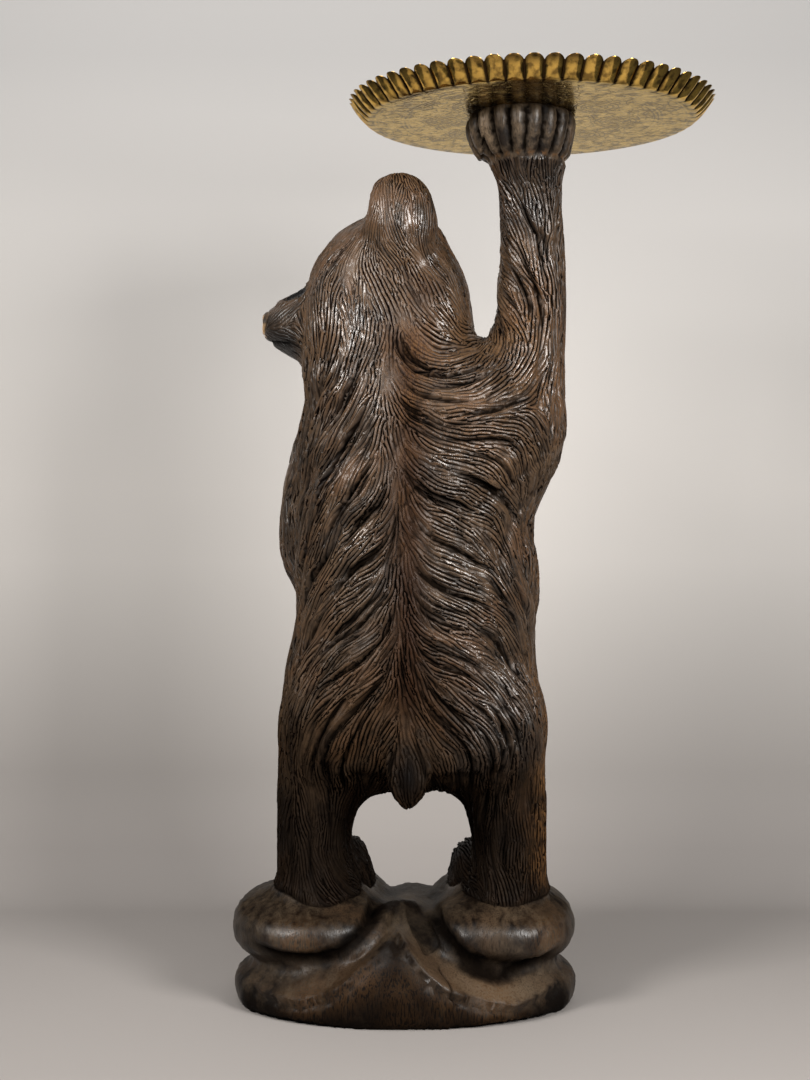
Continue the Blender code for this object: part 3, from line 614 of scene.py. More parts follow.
# Fingers of the paw on the belly, and the toes. Each ends in a claw, and the paw's back is bald.
PALM_X, PALM_Z = 0.024, 0.514
claw, digit = np.zeros((2, len(points)))
on_belly = (y < -0.09) & (normals[:, 1] < 0.1)
for k in range(-2, 3):
    fan = math.radians(19 * k)
    run = -(x - PALM_X) * math.cos(fan) + (z - PALM_Z) * math.sin(fan)
    off = (x - PALM_X) * math.sin(fan) + (z - PALM_Z) * math.cos(fan)
    beyond = np.clip(np.abs(run - 0.022) - 0.011, 0, 1) / 0.008
    digit = np.maximum(digit, on_belly * np.sqrt(np.clip(1 - (off / 0.0066) ** 2 - beyond ** 2, 0, 1)))
    nail = np.clip(1 - (off / 0.0027) ** 2 - ((run - 0.043) / 0.0085) ** 2, 0, 1)
    claw = np.maximum(claw, on_belly * np.sqrt(nail))
palm = on_belly * ease((0.048 - np.hypot(x - PALM_X, z - PALM_Z)) / 0.006)
furry *= 1 - np.maximum(ease(3 * digit), 0.85 * palm)
relief = relief * (1 - palm) + 0.0055 * digit
for foot_x in FEET_X:
    for k in range(-2, 3):
        off = x - foot_x - 0.017 * k
        toe = np.sqrt(np.clip(1 - (off / 0.0088) ** 2, 0, 1)) * at_toes
        relief += 0.0050 * toe - 0.0022 * at_toes * (np.abs(off) < 0.0085)
        nail = np.clip(1 - ((x - foot_x - 0.0185 * k) / 0.0036) ** 2 - ((z - 0.116) / 0.0085) ** 2, 0, 1)
        claw = np.maximum(claw, np.sqrt(nail) * (y < -0.1) * (normals[:, 1] < -0.2))
relief += claw * np.where(z < 0.2, 0.0055, 0.0022)

# The face: almond eyes in their lids, a nose with two nostrils, and a closed mouth.
EYES_Y, EYE_Z = (-0.006, -0.042), 0.7405
black = ease(claw / 0.3)
for eye_y in EYES_Y:
    away = np.hypot((y - eye_y) / 1.2, z - EYE_Z) + 1.0 * ((x < 0.06) | (normals[:, 0] < 0))
    ball = np.sqrt(np.clip(1 - (away / 0.0068) ** 2, 0, 1))
    relief += 0.0034 * ball - 0.0030 * np.exp(-((away - 0.0078) / 0.0012) ** 2)
    relief += 0.0022 * np.exp(-((away - 0.0108) / 0.0020) ** 2)
    black = np.maximum(black, ease((0.0078 - away) / 0.0006))
NOSE_Y, NOSE_Z = -0.024, 0.7115
nose = np.hypot((y - NOSE_Y) / 0.0160, (z - NOSE_Z) / 0.0125) + 9.0 * (x < 0.135)
relief += 0.0007 * ease((1.0 - nose) / 0.10) - 0.0009 * np.exp(-((nose - 1.05) / 0.07) ** 2)
for side in (-1, 1):
    nostril = np.hypot((y - NOSE_Y - 0.0080 * side) / 0.0038, (z - NOSE_Z + 0.001) / 0.0027)
    relief -= 0.0042 * np.exp(-nostril ** 2) * (x > 0.128)
    black = np.maximum(black, np.exp(-nostril ** 2) * (x > 0.128))
black = np.maximum(black, 0.75 * ease((1.0 - nose) / 0.06) * ease((normals[:, 0] - 0.3) / 0.3))
lip_z = 0.6925 - 0.006 * np.sin(math.pi * np.clip((0.150 - x) / 0.062, 0, 1))
lips = np.exp(-((z - lip_z) / 0.0014) ** 2) * ease((x - 0.117) / 0.008) * (z > 0.6)
lips = np.maximum(lips, np.exp(-((y - NOSE_Y) / 0.0012) ** 2) * (x > 0.12)
                  * ease((z - 0.6925) / 0.002) * ease((0.7015 - z) / 0.002))
relief -= 0.0026 * lips
furry *= 1 - np.maximum(black, at_muzzle * ease((1.35 - nose) / 0.3))

# The fur of the crown and the ears stays within the block's own height.
points = points + normals * relief[:, None]
points[:, 2] -= 0.0024 * ease((points[:, 2] - 0.800) / 0.03) * (points[:, 0] > -0.08)

# The nose lost a chip long ago: bare pale wood on a flat break.
CHIP = 0.1515
bare = (ease((points[:, 0] - CHIP + 0.0012 + 0.0010 * waver(points, 0.012, 41)) / 0.0006)
        * (points[:, 2] > 0.68) * ease((0.720 - points[:, 2]) / 0.003)
        * ease((points[:, 1] + 0.030) / 0.004))
at_tip = (points[:, 2] > 0.68) & (points[:, 0] > CHIP)
points[at_tip, 0] = CHIP + 0.1 * (points[at_tip, 0] - CHIP)
black *= 1 - bare

# The rock is cut with flat chisels: a sharp crest along its back edge in a flattened W, a steep
# face under it that is painted dark as shade, and deep hollows beside the stones. Lines are x, z as seen
# from behind.
CREST_X = (-178, -160, -139, -108, -83, -56, -37, -15, 7, 22, 41, 55, 71, 102, 140, 160, 178)
CREST_Z = (40, 31, 23, 17, 22, 30, 39, 57, 82, 72, 57, 44, 32, 21, 22, 30, 38)
# The hollows run from the outer corner in and up beside the middle rock: x, z, depth, width.
HOLLOWS = [
    [(165, 78, 0, 8), (143, 68, 5, 9), (121, 61, 6, 10), (86, 59, 6, 10), (64, 66, 7, 10),
     (41, 89, 9, 11), (28, 106, 12, 11), (19, 126, 11, 10), (15, 146, 9, 10)],
    [(-162, 72, 0, 8), (-139, 52, 5, 9), (-94, 45, 7, 11), (-60, 59, 8, 12), (-35, 86, 9, 11),
     (-25, 104, 11, 10), (-21, 126, 11, 9), (-20, 146, 9, 9)],
]
# Ridges and lesser grooves: height and width, then the line.
ROCK_LINES = [
    (5.0, 8, [(14, 112), (24, 98), (40, 82), (56, 66), (72, 56)]),
    (3.0, 6, [(11, 100), (26, 84), (42, 70), (52, 62)]),
    (2.5, 5, [(-15, 112), (-26, 90), (-36, 72), (-48, 58), (-66, 46)]),
    (-2.0, 4, [(-12, 108), (-22, 88), (-31, 72)]),
    (-2.5, 14, [(10, 54), (0, 40), (-8, 30)]),
    (1.6, 5, [(24, 24), (14, 33), (-6, 37), (-28, 28), (-44, 18)]),
]
TONGUE = [(-3, 120), (-10, 96), (-24, 72)]
CRACKS = [[(-35, 54), (-40, 44), (-46, 34), (-52, 24)], [(64, 113), (88, 111), (98, 112)]]


def line_distance(x, z, corners):
    """Distance from each point to a line of corners, and how far along it the nearest is."""
    away, along = np.full(len(x), 1e3), np.zeros(len(x))
    for k, ((x0, z0), (x1, z1)) in enumerate(zip(corners, corners[1:])):
        dx, dz = x1 - x0, z1 - z0
        t = np.clip(((x - x0) * dx + (z - z0) * dz) / (dx * dx + dz * dz), 0, 1)
        here = np.hypot(x - x0 - t * dx, z - z0 - t * dz)
        along = np.where(here < away, (k + t) / (len(corners) - 1), along)
        away = np.minimum(away, here)
    return away, along


low_part = np.flatnonzero((points[:, 2] < 0.152) & (points[:, 1] > 0.0))
x, y, z = points[low_part].T * 1000
rock = (1 - furry[low_part]) * ease(y / 45) * ease((normals[low_part, 1] + 0.35) / 0.3)
over = (z - np.interp(x, CREST_X, CREST_Z)) * 0.8
crest_cut = np.where(over > 0, 5.0 * np.exp(-over / 7) - 3.0 * np.exp(-((over - 22) / 10) ** 2),
                     5.0 - 9.5 * ease(-over / 2.4) + 4.0 * ease((-over - 8) / 30))
chiselled = crest_cut * ease((y - 60) / 25) * ease((92 - z) / 12)
hollow = np.zeros(len(x))
for rows in HOLLOWS:
    away, along = line_distance(x, z, [row[:2] for row in rows])
    stations = np.linspace(0, 1, len(rows))
    deep = np.interp(along, stations, [row[2] for row in rows])
    wide = np.interp(along, stations, [row[3] for row in rows])
    hollow = np.maximum(hollow, deep * np.clip(1 - away / wide, 0, 1) ** 0.9)
chiselled -= hollow
for tall, wide, corners in ROCK_LINES:
    away, along = line_distance(x, z, corners)
    ends = np.clip(np.minimum(along, 1 - along) * 5, 0, 1) ** 0.5
    chiselled += tall * ends * np.clip(1 - away / wide, 0, 1) ** 1.2
away, along = line_distance(x, z, TONGUE)
in_tongue = ease((12 - 2.5 * along - away) / 2.5)
chiselled -= 3.5 * in_tongue
crack = np.zeros(len(x))
for corners in CRACKS:
    away, along = line_distance(x + 1.5 * np.sin(z / 3), z, corners)
    crack = np.maximum(crack, np.exp(-(away / 0.9) ** 2) * (y > 40))
chiselled -= 2.2 * crack
points[low_part] += normals[low_part] * (0.001 * rock * chiselled)[:, None]

# The planes over the crest are painted pale as a painted sheen, the face under it is dull and
# painted dark as shade, and painted shade lies in the hollows and cracks.
pale = (1.5 + 4.0 * ease(-x / 12)) * ease(over / 1.2) * ease((20 - over) / 8)
dim = ease(-over / 1.0) * (1.2 + 2.6 * ease((-over - 8) / 8))
tone_and_painted_light[low_part] += rock * (pale - dim) * ease((y - 50) / 20)
painted_sheen, under_crest, recess_shade = np.zeros((3, len(points)))
painted_sheen[low_part] = (rock * ease(-x / 12) * ease(over / 1.2) * ease((20 - over) / 8)
                         * ease((y - 50) / 20))
under_crest[low_part] = rock * ease((-over - 2) / 5) * ease((y - 55) / 15)
recess_shade[low_part] = rock * np.clip(hollow / 5 + crack + 0.55 * in_tongue
                                + 0.35 * ease((-over - 10) / 8) * (y > 60), 0, 1)

# A ridge with a flat top runs back between the feet, with a notch on either side.
top = 1000 * points[:, 0] - 3
saddle = (ease((normals[:, 2] - 0.35) / 0.3) * (1 - furry) * ease((points[:, 1] + 0.02) / 0.04)
          * ease((points[:, 2] - 0.088) / 0.008) * ease((0.13 - points[:, 2]) / 0.01))
knob = 5.5 * ease((20 - np.abs(top)) / 9) - 3.0 * np.exp(-((np.abs(top) - 27) / 6) ** 2)
points += normals * (0.001 * saddle * knob)[:, None]
# Painted shade darkens the ridge between the feet.
tone_and_painted_light -= 3.0 * saddle * ease((40 - np.abs(top)) / 12)

planed = 0.45 * np.abs(waver(points, 0.040, 31)) + 0.30 * waver(points * (1, 1, 0.25), 0.007, 32)
points += normals * (0.001 * planed * (1 - furry) * (points[:, 2] < 0.15))[:, None]
z = points[:, 2]
points[:, 2] = np.clip(z, FLOOR, PAW_TOP)

# Each quad is split along the furrow. Then flat places take fewer faces than carved ones.
BEAR_FACES = 197500
turned = np.exp(1j * count)
first_way = np.abs(turned[quads[:, 0]] - turned[quads[:, 2]])
other_way = np.abs(turned[quads[:, 1]] - turned[quads[:, 3]])
halves = np.where((first_way <= other_way)[:, None], quads[:, [0, 1, 2, 0, 2, 3]],
                  quads[:, [1, 2, 3, 1, 3, 0]]).reshape(-1, 3)
carved = bpy.data.meshes.new("carved_bear")
carved.vertices.add(len(points))
carved.vertices.foreach_set("co", points.ravel())
carved.loops.add(halves.size)
carved.loops.foreach_set("vertex_index", halves.ravel())
carved.polygons.add(len(halves))
carved.polygons.foreach_set("loop_start", np.arange(0, halves.size, 3, dtype=np.int32))
carved.update(calc_edges=True)
bear.data = carved
thin = bear.modifiers.new("thin", "DECIMATE")
thin.ratio = BEAR_FACES / len(halves)
apply_modifiers(bear)
bear.data.shade_smooth()

# What the stain, the painted light and shade and the wax need to know of the carving goes with the
# block's points.
final, _ = read_points(bear.data)
source = find_nearest(points, final, 1)[:, 0]


def keep(name, values, domain="POINT"):
    """Store a value for every point, or every face corner, of the bear's mesh."""
    made = bear.data.attributes.new(name, "FLOAT", domain)
    made.data.foreach_set("value", np.ascontiguousarray(values, dtype=np.float32))


# Hands and cloths wore the stain off here: x, y, z, reach in millimetres, and how much.
WORN_PLACES = [
    (0, 110, 470, 16, 0.2), (0, 112, 520, 18, 0.3), (0, 110, 570, 20, 0.25), (60, 70, 640, 30, 0.3),
    (-5, 105, 620, 30, 0.5), (-30, 95, 680, 45, 0.7), (-60, 60, 700, 40, 0.6), (80, 60, 690, 35, 0.45),
    (10, 60, 760, 40, 0.45), (-120, 60, 690, 40, 0.7), (-130, 60, 760, 35, 0.6), (-140, 50, 640, 40, 0.7),
    (-60, 100, 600, 50, 0.4), (-100, 90, 560, 40, 0.35), (-135, 50, 340, 35, 0.6),
    (-140, 40, 300, 30, 0.8), (-143, 40, 240, 25, 0.9), (-142, 40, 190, 25, 0.9),
    (-140, 45, 150, 22, 0.8), (18, 50, 830, 25, 0.4),
    (40, 130, 45, 20, 0.36), (60, 130, 35, 20, 0.30), (100, 120, 30, 25, 0.35), (110, 110, 72, 25, 0.5),
    (5, 135, 38, 24, 0.26), (-40, 135, 28, 24, 0.24), (0, 135, 12, 26, 0.20),
    (-90, 120, 28, 30, 0.4), (-150, 90, 75, 25, 0.5), (-60, 125, 68, 20, 0.4),
]
at_x, at_y, at_z = points[source].T * 1000
# The fingers' lower ends are worn and also given a painted highlight.
wear_and_highlight = 0.9 * knuckle_wear_and_highlight[source]
for wx, wy, wz, wide, amount in WORN_PLACES:
    away = ((at_x - wx) ** 2 + (at_y - wy) ** 2 + (at_z - wz) ** 2) / wide ** 2
    wear_and_highlight = np.maximum(wear_and_highlight, amount * np.exp(-away))
# Painted shade makes the lower parts, the raised arm, the tail, the muzzle and the ridge between
# the feet darker than the shoulders.
painted_shade = 1.1 * ease((430 - at_z) / 260)
painted_shade = np.maximum(painted_shade, 0.52 * ease((-at_x - 85) / 15) * ease((at_z - 770) / 60))
by_tail = (at_y > 100) * np.exp(-((at_x + 3) / 34) ** 2 - ((at_z - 245) / 52) ** 2)
painted_shade = np.maximum(painted_shade, 1.25 * by_tail)
painted_shade = np.maximum(painted_shade, at_muzzle[source] * (0.45 + 0.75 * ease((0.708 - points[source, 2]) / 0.02)))
painted_shade = np.maximum(painted_shade, 0.95 * saddle[source])
# The spine and the nape are dull and reddish.
ruddy = (at_y > 60) * np.exp(-((at_x + 3) / 22) ** 2) * ease((690 - at_z) / 40) * ease((at_z - 270) / 60)
ruddy = np.maximum(ruddy, (at_y > 20) * np.exp(-((at_x + 5) / 26) ** 2 - ((at_z - 672) / 30) ** 2))
ruddy = np.maximum(ruddy, 0.8 * (at_y > 20) * np.exp(-((at_x + 22) / 22) ** 2 - ((at_z - 735) / 26) ** 2))
keep("ruddy", ruddy * furry[source])
# The bare rock takes less of this painted shade, save the face under the crest, and the painted sheen on
# the plane over it less still.
painted_shade *= 1 - (1 - furry[source]) * (0.15 + 0.03 * ease(-at_x / 60)) * (1 - under_crest[source])
painted_shade *= 1 - 0.15 * painted_sheen[source]
keep("furry", furry[source])
# Painted shade in the cuts, at the legs' lower edge, between the fingers, along the mouth, in the rock's
# hollows and cracks, and on the lower side of tufts and locks.
keep("recess_shade", np.clip((cut / 0.0023 * furry + 0.85 * fringe + gap + lips + recess_shade + shaded * furry)[source],
                     0, 1))
# The tone is random, and on the rock it also holds the painted sheen and the painted shade.
keep("tone_and_painted_light", 0.5 + 0.10 * tone_and_painted_light[source] + 0.11 * hair_tone[source])
keep("firm", (np.clip(0.84 + 0.30 * stroke_firm + 0.12 * hair, 0, 1) * (1 - 0.5 * at_muzzle))[source])
keep("wear_and_highlight", wear_and_highlight)
keep("painted_shade", painted_shade)
dull = np.maximum(ease((470 - at_z) / 200) * ease((at_x + 110) / 90), ease((290 - at_z) / 60))
bald = 1 - furry[source]
gloss = (0.5 - 0.35 * ease((normals[source, 2] - 0.5) / 0.3)) * bald + (1 - bald) * (1 - 0.90 * dull)
# The wax is rubbed to a shine on the fullest parts: x, z and reach in millimetres.
POLISHED_PLACES = [
    (32, 800, 14), (-10, 800, 14), (57, 716, 27), (50, 690, 22), (-38, 712, 18), (-40, 690, 16),
    (-31, 760, 14), (-130, 644, 26), (39, 616, 18), (18, 640, 16), (-105, 510, 18), (-108, 404, 18),
    (-35, 557, 16), (45, 475, 18), (25, 435, 14), (-50, 455, 16), (-45, 408, 16), (-66, 364, 16),
    (-76, 322, 16), (-86, 296, 16), (-120, 820, 16), (-140, 770, 16), (80, 560, 24), (70, 640, 20),
    (-90, 440, 20), (-95, 350, 16), (-122, 895, 40), (121, 87, 20), (62, 87, 16), (-53, 87, 16),
    (-115, 84, 20), (10, 70, 16), (-30, 48, 14),
]
polished = np.zeros(len(final))
for wx, wz, wide in POLISHED_PLACES:
    away = ((at_x - wx) ** 2 + (at_z - wz) ** 2) / wide ** 2
    polished = np.maximum(polished, (at_y > 10) * np.exp(-away))
polished = np.maximum(polished, 0.5 * (at_y < 10))
gloss *= 0.55 + 0.45 * polished
gloss *= 1 - 0.8 * fringe[source]
gloss *= (1 - 0.75 * ruddy * furry[source]) * (1 - 0.9 * saddle[source]) * (1 - 0.8 * under_crest[source])
keep("gloss", gloss)
keep("bare", bare[source])
keep("black", black[source])
corners = np.empty(len(bear.data.loops), dtype=np.int32)
bear.data.loops.foreach_get("vertex_index", corners)
corners = corners.reshape(-1, 3)
chosen, spot = comb[source[corners[:, 0]]][:, None], source[corners]
at, way, wave = final[corners], comb_across[chosen, spot], comb_count[chosen, spot]
scale = 2 * math.pi / comb_pitch[chosen, spot][:, 0]
for k in (1, 2):
    same = np.where(np.einsum("ni,ni->n", way[:, 0], way[:, k]) < 0, -1.0, 1.0)
    middle = unit(way[:, 0] + same[:, None] * way[:, k])
    guess = wave[:, 0] + scale * np.einsum("ni,ni->n", middle, at[:, k] - at[:, 0])
    wave[:, k] = guess + np.angle(np.exp(1j * (same * wave[:, k] - guess)))
keep("count", wave.ravel(), "CORNER")

# The wood is stained nearly black in its furrows, with painted shade there too, waxed to a shine
# on its crests, and worn to red and golden brown where hands and cloths went over it. Painted shade
# darkens the recesses, the lower parts, the tail and the muzzle, painted light the planes over the
# rock's crest, and a painted highlight the fingers' lower ends.


class Paint:
    """A material in the making, with short ways to add and join its nodes."""

    def __init__(self, name):
        self.material = bpy.data.materials.new(name)
        self.material.use_nodes = True
        self.nodes = self.material.node_tree.nodes
        self.links = self.material.node_tree.links
        self.shader = self.nodes["Principled BSDF"]
        self.place = self.nodes.new("ShaderNodeTexCoord").outputs["Object"]

    def put(self, slot, value):
        """Set an input to a plain value or colour, or link it to an output."""
        if isinstance(value, bpy.types.NodeSocket):
            self.links.new(value, slot)
        elif isinstance(value, tuple):
            slot.default_value = (*value, 1.0) if len(slot.default_value) == 4 else value
        else:
            slot.default_value = value

    def maths(self, operation, *values):
        """Work out values node by node."""
        made = self.nodes.new("ShaderNodeMath")
        made.operation = operation
        for slot, value in zip(made.inputs, values):
            self.put(slot, value)
        return made.outputs[0]

    def plus(self, first, second):
        return self.maths("ADD", first, second)

    def minus(self, first, second):
        return self.maths("SUBTRACT", first, second)

    def times(self, first, second):
        return self.maths("MULTIPLY", first, second)

    def larger(self, first, second):
        return self.maths("MAXIMUM", first, second)

    def mix(self, amount, first, second):
        """The first colour at 0 and the second at 1."""
        made = self.nodes.new("ShaderNodeMix")
        made.data_type = "RGBA"
        for slot, value in zip((made.inputs[0], *made.inputs[6:8]), (amount, first, second)):
            self.put(slot, value)
        return made.outputs[2]

    def attribute(self, name):
        """A value that was stored in the mesh."""
        made = self.nodes.new("ShaderNodeAttribute")
        made.attribute_name = name
        return made.outputs["Fac"]

    def window(self, value, low, high):
        """0 at low, 1 at high, and a straight rise or fall between."""
        made = self.nodes.new("ShaderNodeMapRange")
        self.put(made.inputs["Value"], value)
        self.put(made.inputs["From Min"], low)
        self.put(made.inputs["From Max"], high)
        return made.outputs["Result"]

    def noise(self, scale, stretch=(1.0, 1.0, 1.0), detail=3.0):
        """Cloudy noise over the object, finer along an axis where stretch is large."""
        moved = self.nodes.new("ShaderNodeMapping")
        self.put(moved.inputs["Vector"], self.place)
        self.put(moved.inputs["Scale"], stretch)
        made = self.nodes.new("ShaderNodeTexNoise")
        self.put(made.inputs["Vector"], moved.outputs["Vector"])
        self.put(made.inputs["Scale"], scale)
        self.put(made.inputs["Detail"], detail)
        return made.outputs["Fac"]

    def bump(self, height, distance, strength=1.0):
        """Finish the surface with relief too fine for the mesh."""
        made = self.nodes.new("ShaderNodeBump")
        self.put(made.inputs["Height"], height)
        self.put(made.inputs["Distance"], distance)
        self.put(made.inputs["Strength"], strength)
        self.put(self.shader.inputs["Normal"], made.outputs["Normal"])


# The first colour is dark stain and also painted shade; the second is painted shade in cuts, grooves and
# hollows.
DARK_STAIN_AND_SHADE, CUT_SHADE = (0.0020, 0.0013, 0.0010), (0.0022, 0.0016, 0.0013)
BROWN, LIGHT_BROWN = (0.028, 0.0168, 0.0092), (0.080, 0.0480, 0.0260)
# The golden brown is worn wood, and on the fingers' lower ends a painted highlight.
RED_BROWN, DULL_RED, GOLDEN_AND_HIGHLIGHT = (0.084, 0.037, 0.014), (0.020, 0.0078, 0.0032), (0.150, 0.072, 0.026)
# The rock's light colour also carries a painted sheen, and its dark colour painted shade.
ROCK_BROWN_AND_SHADE, LIGHT_ROCK_AND_SHEEN = (0.013, 0.0078, 0.0045), (0.160, 0.113, 0.071)
BARE_WOOD, PAINTED = (0.46, 0.30, 0.16), (0.003, 0.0025, 0.0025)

wood = Paint("waxed_wood")
crest = wood.maths("ABSOLUTE", wood.maths("SINE", wood.times(wood.attribute("count"), 0.5)))
hairy = wood.attribute("furry")
fine = wood.noise(150.0)
pores = wood.noise(700.0, (1.0, 1.0, 0.14), 2.0)
# The mottle also carries the rock's painted sheen and painted shade.
mottle_and_painted_light = wood.plus(wood.times(fine, 0.4), wood.times(wood.attribute("tone_and_painted_light"), 0.6))
stain_and_shade = wood.mix(wood.window(mottle_and_painted_light, 0.34, 0.66), BROWN, LIGHT_BROWN)
rocky = wood.mix(wood.window(mottle_and_painted_light, 0.34, 0.70), ROCK_BROWN_AND_SHADE, LIGHT_ROCK_AND_SHEEN)
stain_and_shade = wood.mix(wood.window(hairy, 0.9, 0.1), stain_and_shade, rocky)
reddened = wood.times(wood.window(wood.noise(14.0), 0.45, 0.62), wood.window(mottle_and_painted_light, 0.38, 0.6))
stain_and_shade = wood.mix(wood.times(reddened, 0.5), stain_and_shade, RED_BROWN)
stain_and_shade = wood.mix(wood.times(wood.attribute("ruddy"), 0.90), stain_and_shade, DULL_RED)
# Painted shade darkens the lower parts, the raised arm, the tail, the muzzle and the ridge between the
# feet.
painted_dark = wood.attribute("painted_shade")
stain_and_shade = wood.mix(wood.times(painted_dark, 0.80), stain_and_shade, DARK_STAIN_AND_SHADE)
# Wear, and the painted highlight on the fingers' lower ends, turn the wood golden.
rubbed_and_highlight = wood.times(wood.attribute("wear_and_highlight"), wood.window(pores, 0.40, 0.60))
stain_and_shade = wood.mix(rubbed_and_highlight, stain_and_shade, GOLDEN_AND_HIGHLIGHT)
# The furrows darken with stain and with painted shade.
depth = wood.minus(1.0, wood.window(crest, 0.36, 0.88))
depth = wood.times(wood.times(depth, hairy), wood.attribute("firm"))
stain_and_shade = wood.mix(depth, stain_and_shade, DARK_STAIN_AND_SHADE)
smooth_part = wood.minus(0.60, wood.times(hairy, 0.40))
stain_and_shade = wood.mix(wood.times(wood.window(pores, 0.46, 0.66), smooth_part), stain_and_shade, DARK_STAIN_AND_SHADE)
# Painted shade in cuts, grooves, gaps and hollows.
recess_shade = wood.attribute("recess_shade")
stain_and_shade = wood.mix(wood.times(recess_shade, 0.93), stain_and_shade, CUT_SHADE)
stain_and_shade = wood.mix(wood.attribute("bare"), stain_and_shade, BARE_WOOD)
stain_and_shade = wood.mix(wood.attribute("black"), stain_and_shade, PAINTED)
wood.put(wood.shader.inputs["Base Color"], stain_and_shade)
shadowed = wood.larger(depth, recess_shade)
shine = wood.plus(wood.times(fine, 0.20), 0.12)
matt = wood.minus(1.0, wood.attribute("gloss"))
shine = wood.plus(shine, wood.times(matt, 0.32))
wood.put(wood.shader.inputs["Roughness"], wood.plus(shine, wood.times(shadowed, 0.40)))
glossy = wood.minus(0.80, wood.times(shadowed, 0.78))
wood.put(wood.shader.inputs["Specular IOR Level"], wood.times(glossy, wood.attribute("gloss")))
height = wood.minus(1.0, wood.maths("POWER", wood.minus(1.0, crest), 2.0))
height = wood.times(height, wood.times(hairy, wood.attribute("firm")))
height = wood.plus(height, wood.times(pores, 0.28))
height = wood.plus(height, wood.times(fine, 0.20))
wood.bump(height, 0.0013, 1.0)
bear.data.materials.clear()
bear.data.materials.append(wood.material)
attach(bear, "root")
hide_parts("bear")

# The tray is one sheet of brass: a flat floor and a rim beaten outward into round lobes, each
# pinched off from the next by a dark crease.
tray_low, tray_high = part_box("tray")
TRAY_X, TRAY_Y = (tray_low.x + tray_high.x) / 2, (tray_low.y + tray_high.y) / 2
TRAY_RADIUS = (tray_high.x - tray_low.x) / 2
FLAT_RADIUS, RIM_HEIGHT, SHEET = 0.1700, 0.0212, 0.0015
LOBES, COLUMNS_PER_LOBE, LOBE_DEPTH = 60, 14, 0.0052
turn = np.arange(LOBES * COLUMNS_PER_LOBE) * 2 * math.pi / (LOBES * COLUMNS_PER_LOBE)
lobe = np.abs(np.sin(LOBES / 2 * turn))
bulge = 0.55 * lobe + 0.45 * (1 - (1 - lobe) ** 2)
uneven = 1 + 0.05 * np.sin(7 * turn + 1) + 0.04 * np.sin(13 * turn) + 0.05 * np.sin(29 * turn + 2)


def tray_ring(radius, height, swelling, droop):
    """A ring of points; the lobes swell out from it and their creases droop."""
    out = radius + swelling * LOBE_DEPTH * (bulge - 1) * uneven
    up = height - droop * RIM_HEIGHT * (1 - bulge ** 0.8)
    x, y = TRAY_X + out * np.cos(turn), TRAY_Y + out * np.sin(turn)
    return np.stack([x, y, tray_low.z + np.maximum(up, 0)], axis=1)


def rim_swelling(t):
    """How far the lobes stand out, from the rim's foot at 0 to its edge at 1."""
    return (0.25 + 0.95 * math.sin(math.pi * min(0.62 * t + 0.02, 0.5)) ** 0.8) * ease(3 * t + 0.3)


rings, creased = [], []
for share in (0.03, 0.25, 0.5, 0.7, 0.85, 0.94):
    rings.append(tray_ring(share * FLAT_RADIUS, 0, 0, 0))
    creased.append(0.0)
for k in range(14):
    t = k / 13
    rings.append(tray_ring(FLAT_RADIUS + (TRAY_RADIUS - 0.0004 - FLAT_RADIUS) * t ** 0.86,
                           (RIM_HEIGHT - 0.0006) * t ** 1.25, rim_swelling(t), 0.22 * t ** 2))
    creased.append(1.0)
rings.append(tray_ring(TRAY_RADIUS, RIM_HEIGHT - 0.0002, 1.2, 0.22))
rings.append(tray_ring(TRAY_RADIUS - 0.0007, RIM_HEIGHT, 1.2, 0.22))
creased += [1.0, 1.0]
for k in range(11, -1, -1):
    t = k / 12
    rings.append(tray_ring(FLAT_RADIUS - SHEET + (TRAY_RADIUS - FLAT_RADIUS) * t ** 0.86,
                           SHEET + (RIM_HEIGHT - SHEET) * t ** 1.25, rim_swelling(t), 0.22 * t ** 2))
    creased.append(1.0)
for share in (0.94, 0.85, 0.7, 0.5, 0.25, 0.03):
    rings.append(tray_ring(share * FLAT_RADIUS, SHEET, 0, 0))
    creased.append(0.0)
columns, total = len(turn), len(rings)
corner = np.arange(columns)
beyond = (corner + 1) % columns
walls = [np.stack([k * columns + corner, k * columns + beyond,
                   (k + 1) * columns + beyond, (k + 1) * columns + corner], axis=1)
         for k in range(total - 1)]
faces = [tuple(face) for wall in walls for face in wall.tolist()]
faces.append(tuple(range(columns - 1, -1, -1)))
faces.append(tuple(range((total - 1) * columns, total * columns)))
sheet = bpy.data.meshes.new("brass_tray")
sheet.from_pydata(np.vstack(rings).tolist(), [], faces)
sheet.validate()
crease = np.concatenate([dark * (1 - lobe) ** 3 for dark in creased])
sheet.attributes.new("crease", "FLOAT", "POINT").data.foreach_set("value", crease.astype(np.float32))
sheet.shade_smooth()
tray = bpy.data.objects.new("brass_tray", sheet)
bpy.context.scene.collection.objects.link(tray)

# Aged brass: dark in the creases, rubbed bright on the lobes, painted dark on the rim's upper part
# as shade, and engraved on the flat with rings, medallions and petals.
# The tarnish colour also paints shade on the rim's upper part.
FLAT_BRASS, RIM_BRASS, TARNISH_AND_TOP_SHADE = (0.70, 0.51, 0.185), (0.88, 0.55, 0.13), (0.16, 0.095, 0.030)
OLD_POLISH, CREASE_DIRT = (0.070, 0.045, 0.019), (0.035, 0.020, 0.008)
brass = Paint("aged_brass")
centred = brass.nodes.new("ShaderNodeMapping")
brass.put(centred.inputs["Vector"], brass.place)
brass.put(centred.inputs["Location"], (-TRAY_X, -TRAY_Y, 0.0))
split = brass.nodes.new("ShaderNodeSeparateXYZ")
brass.put(split.inputs[0], centred.outputs["Vector"])
east, north, up = split.outputs
radius = brass.maths("SQRT", brass.plus(brass.times(east, east), brass.times(north, north)))
bearing = brass.maths("ARCTAN2", north, east)


def engraved_line(distance, width):
    """1 on a line and 0 beside it."""
    return brass.window(brass.maths("ABSOLUTE", distance), width, 0.4 * width)


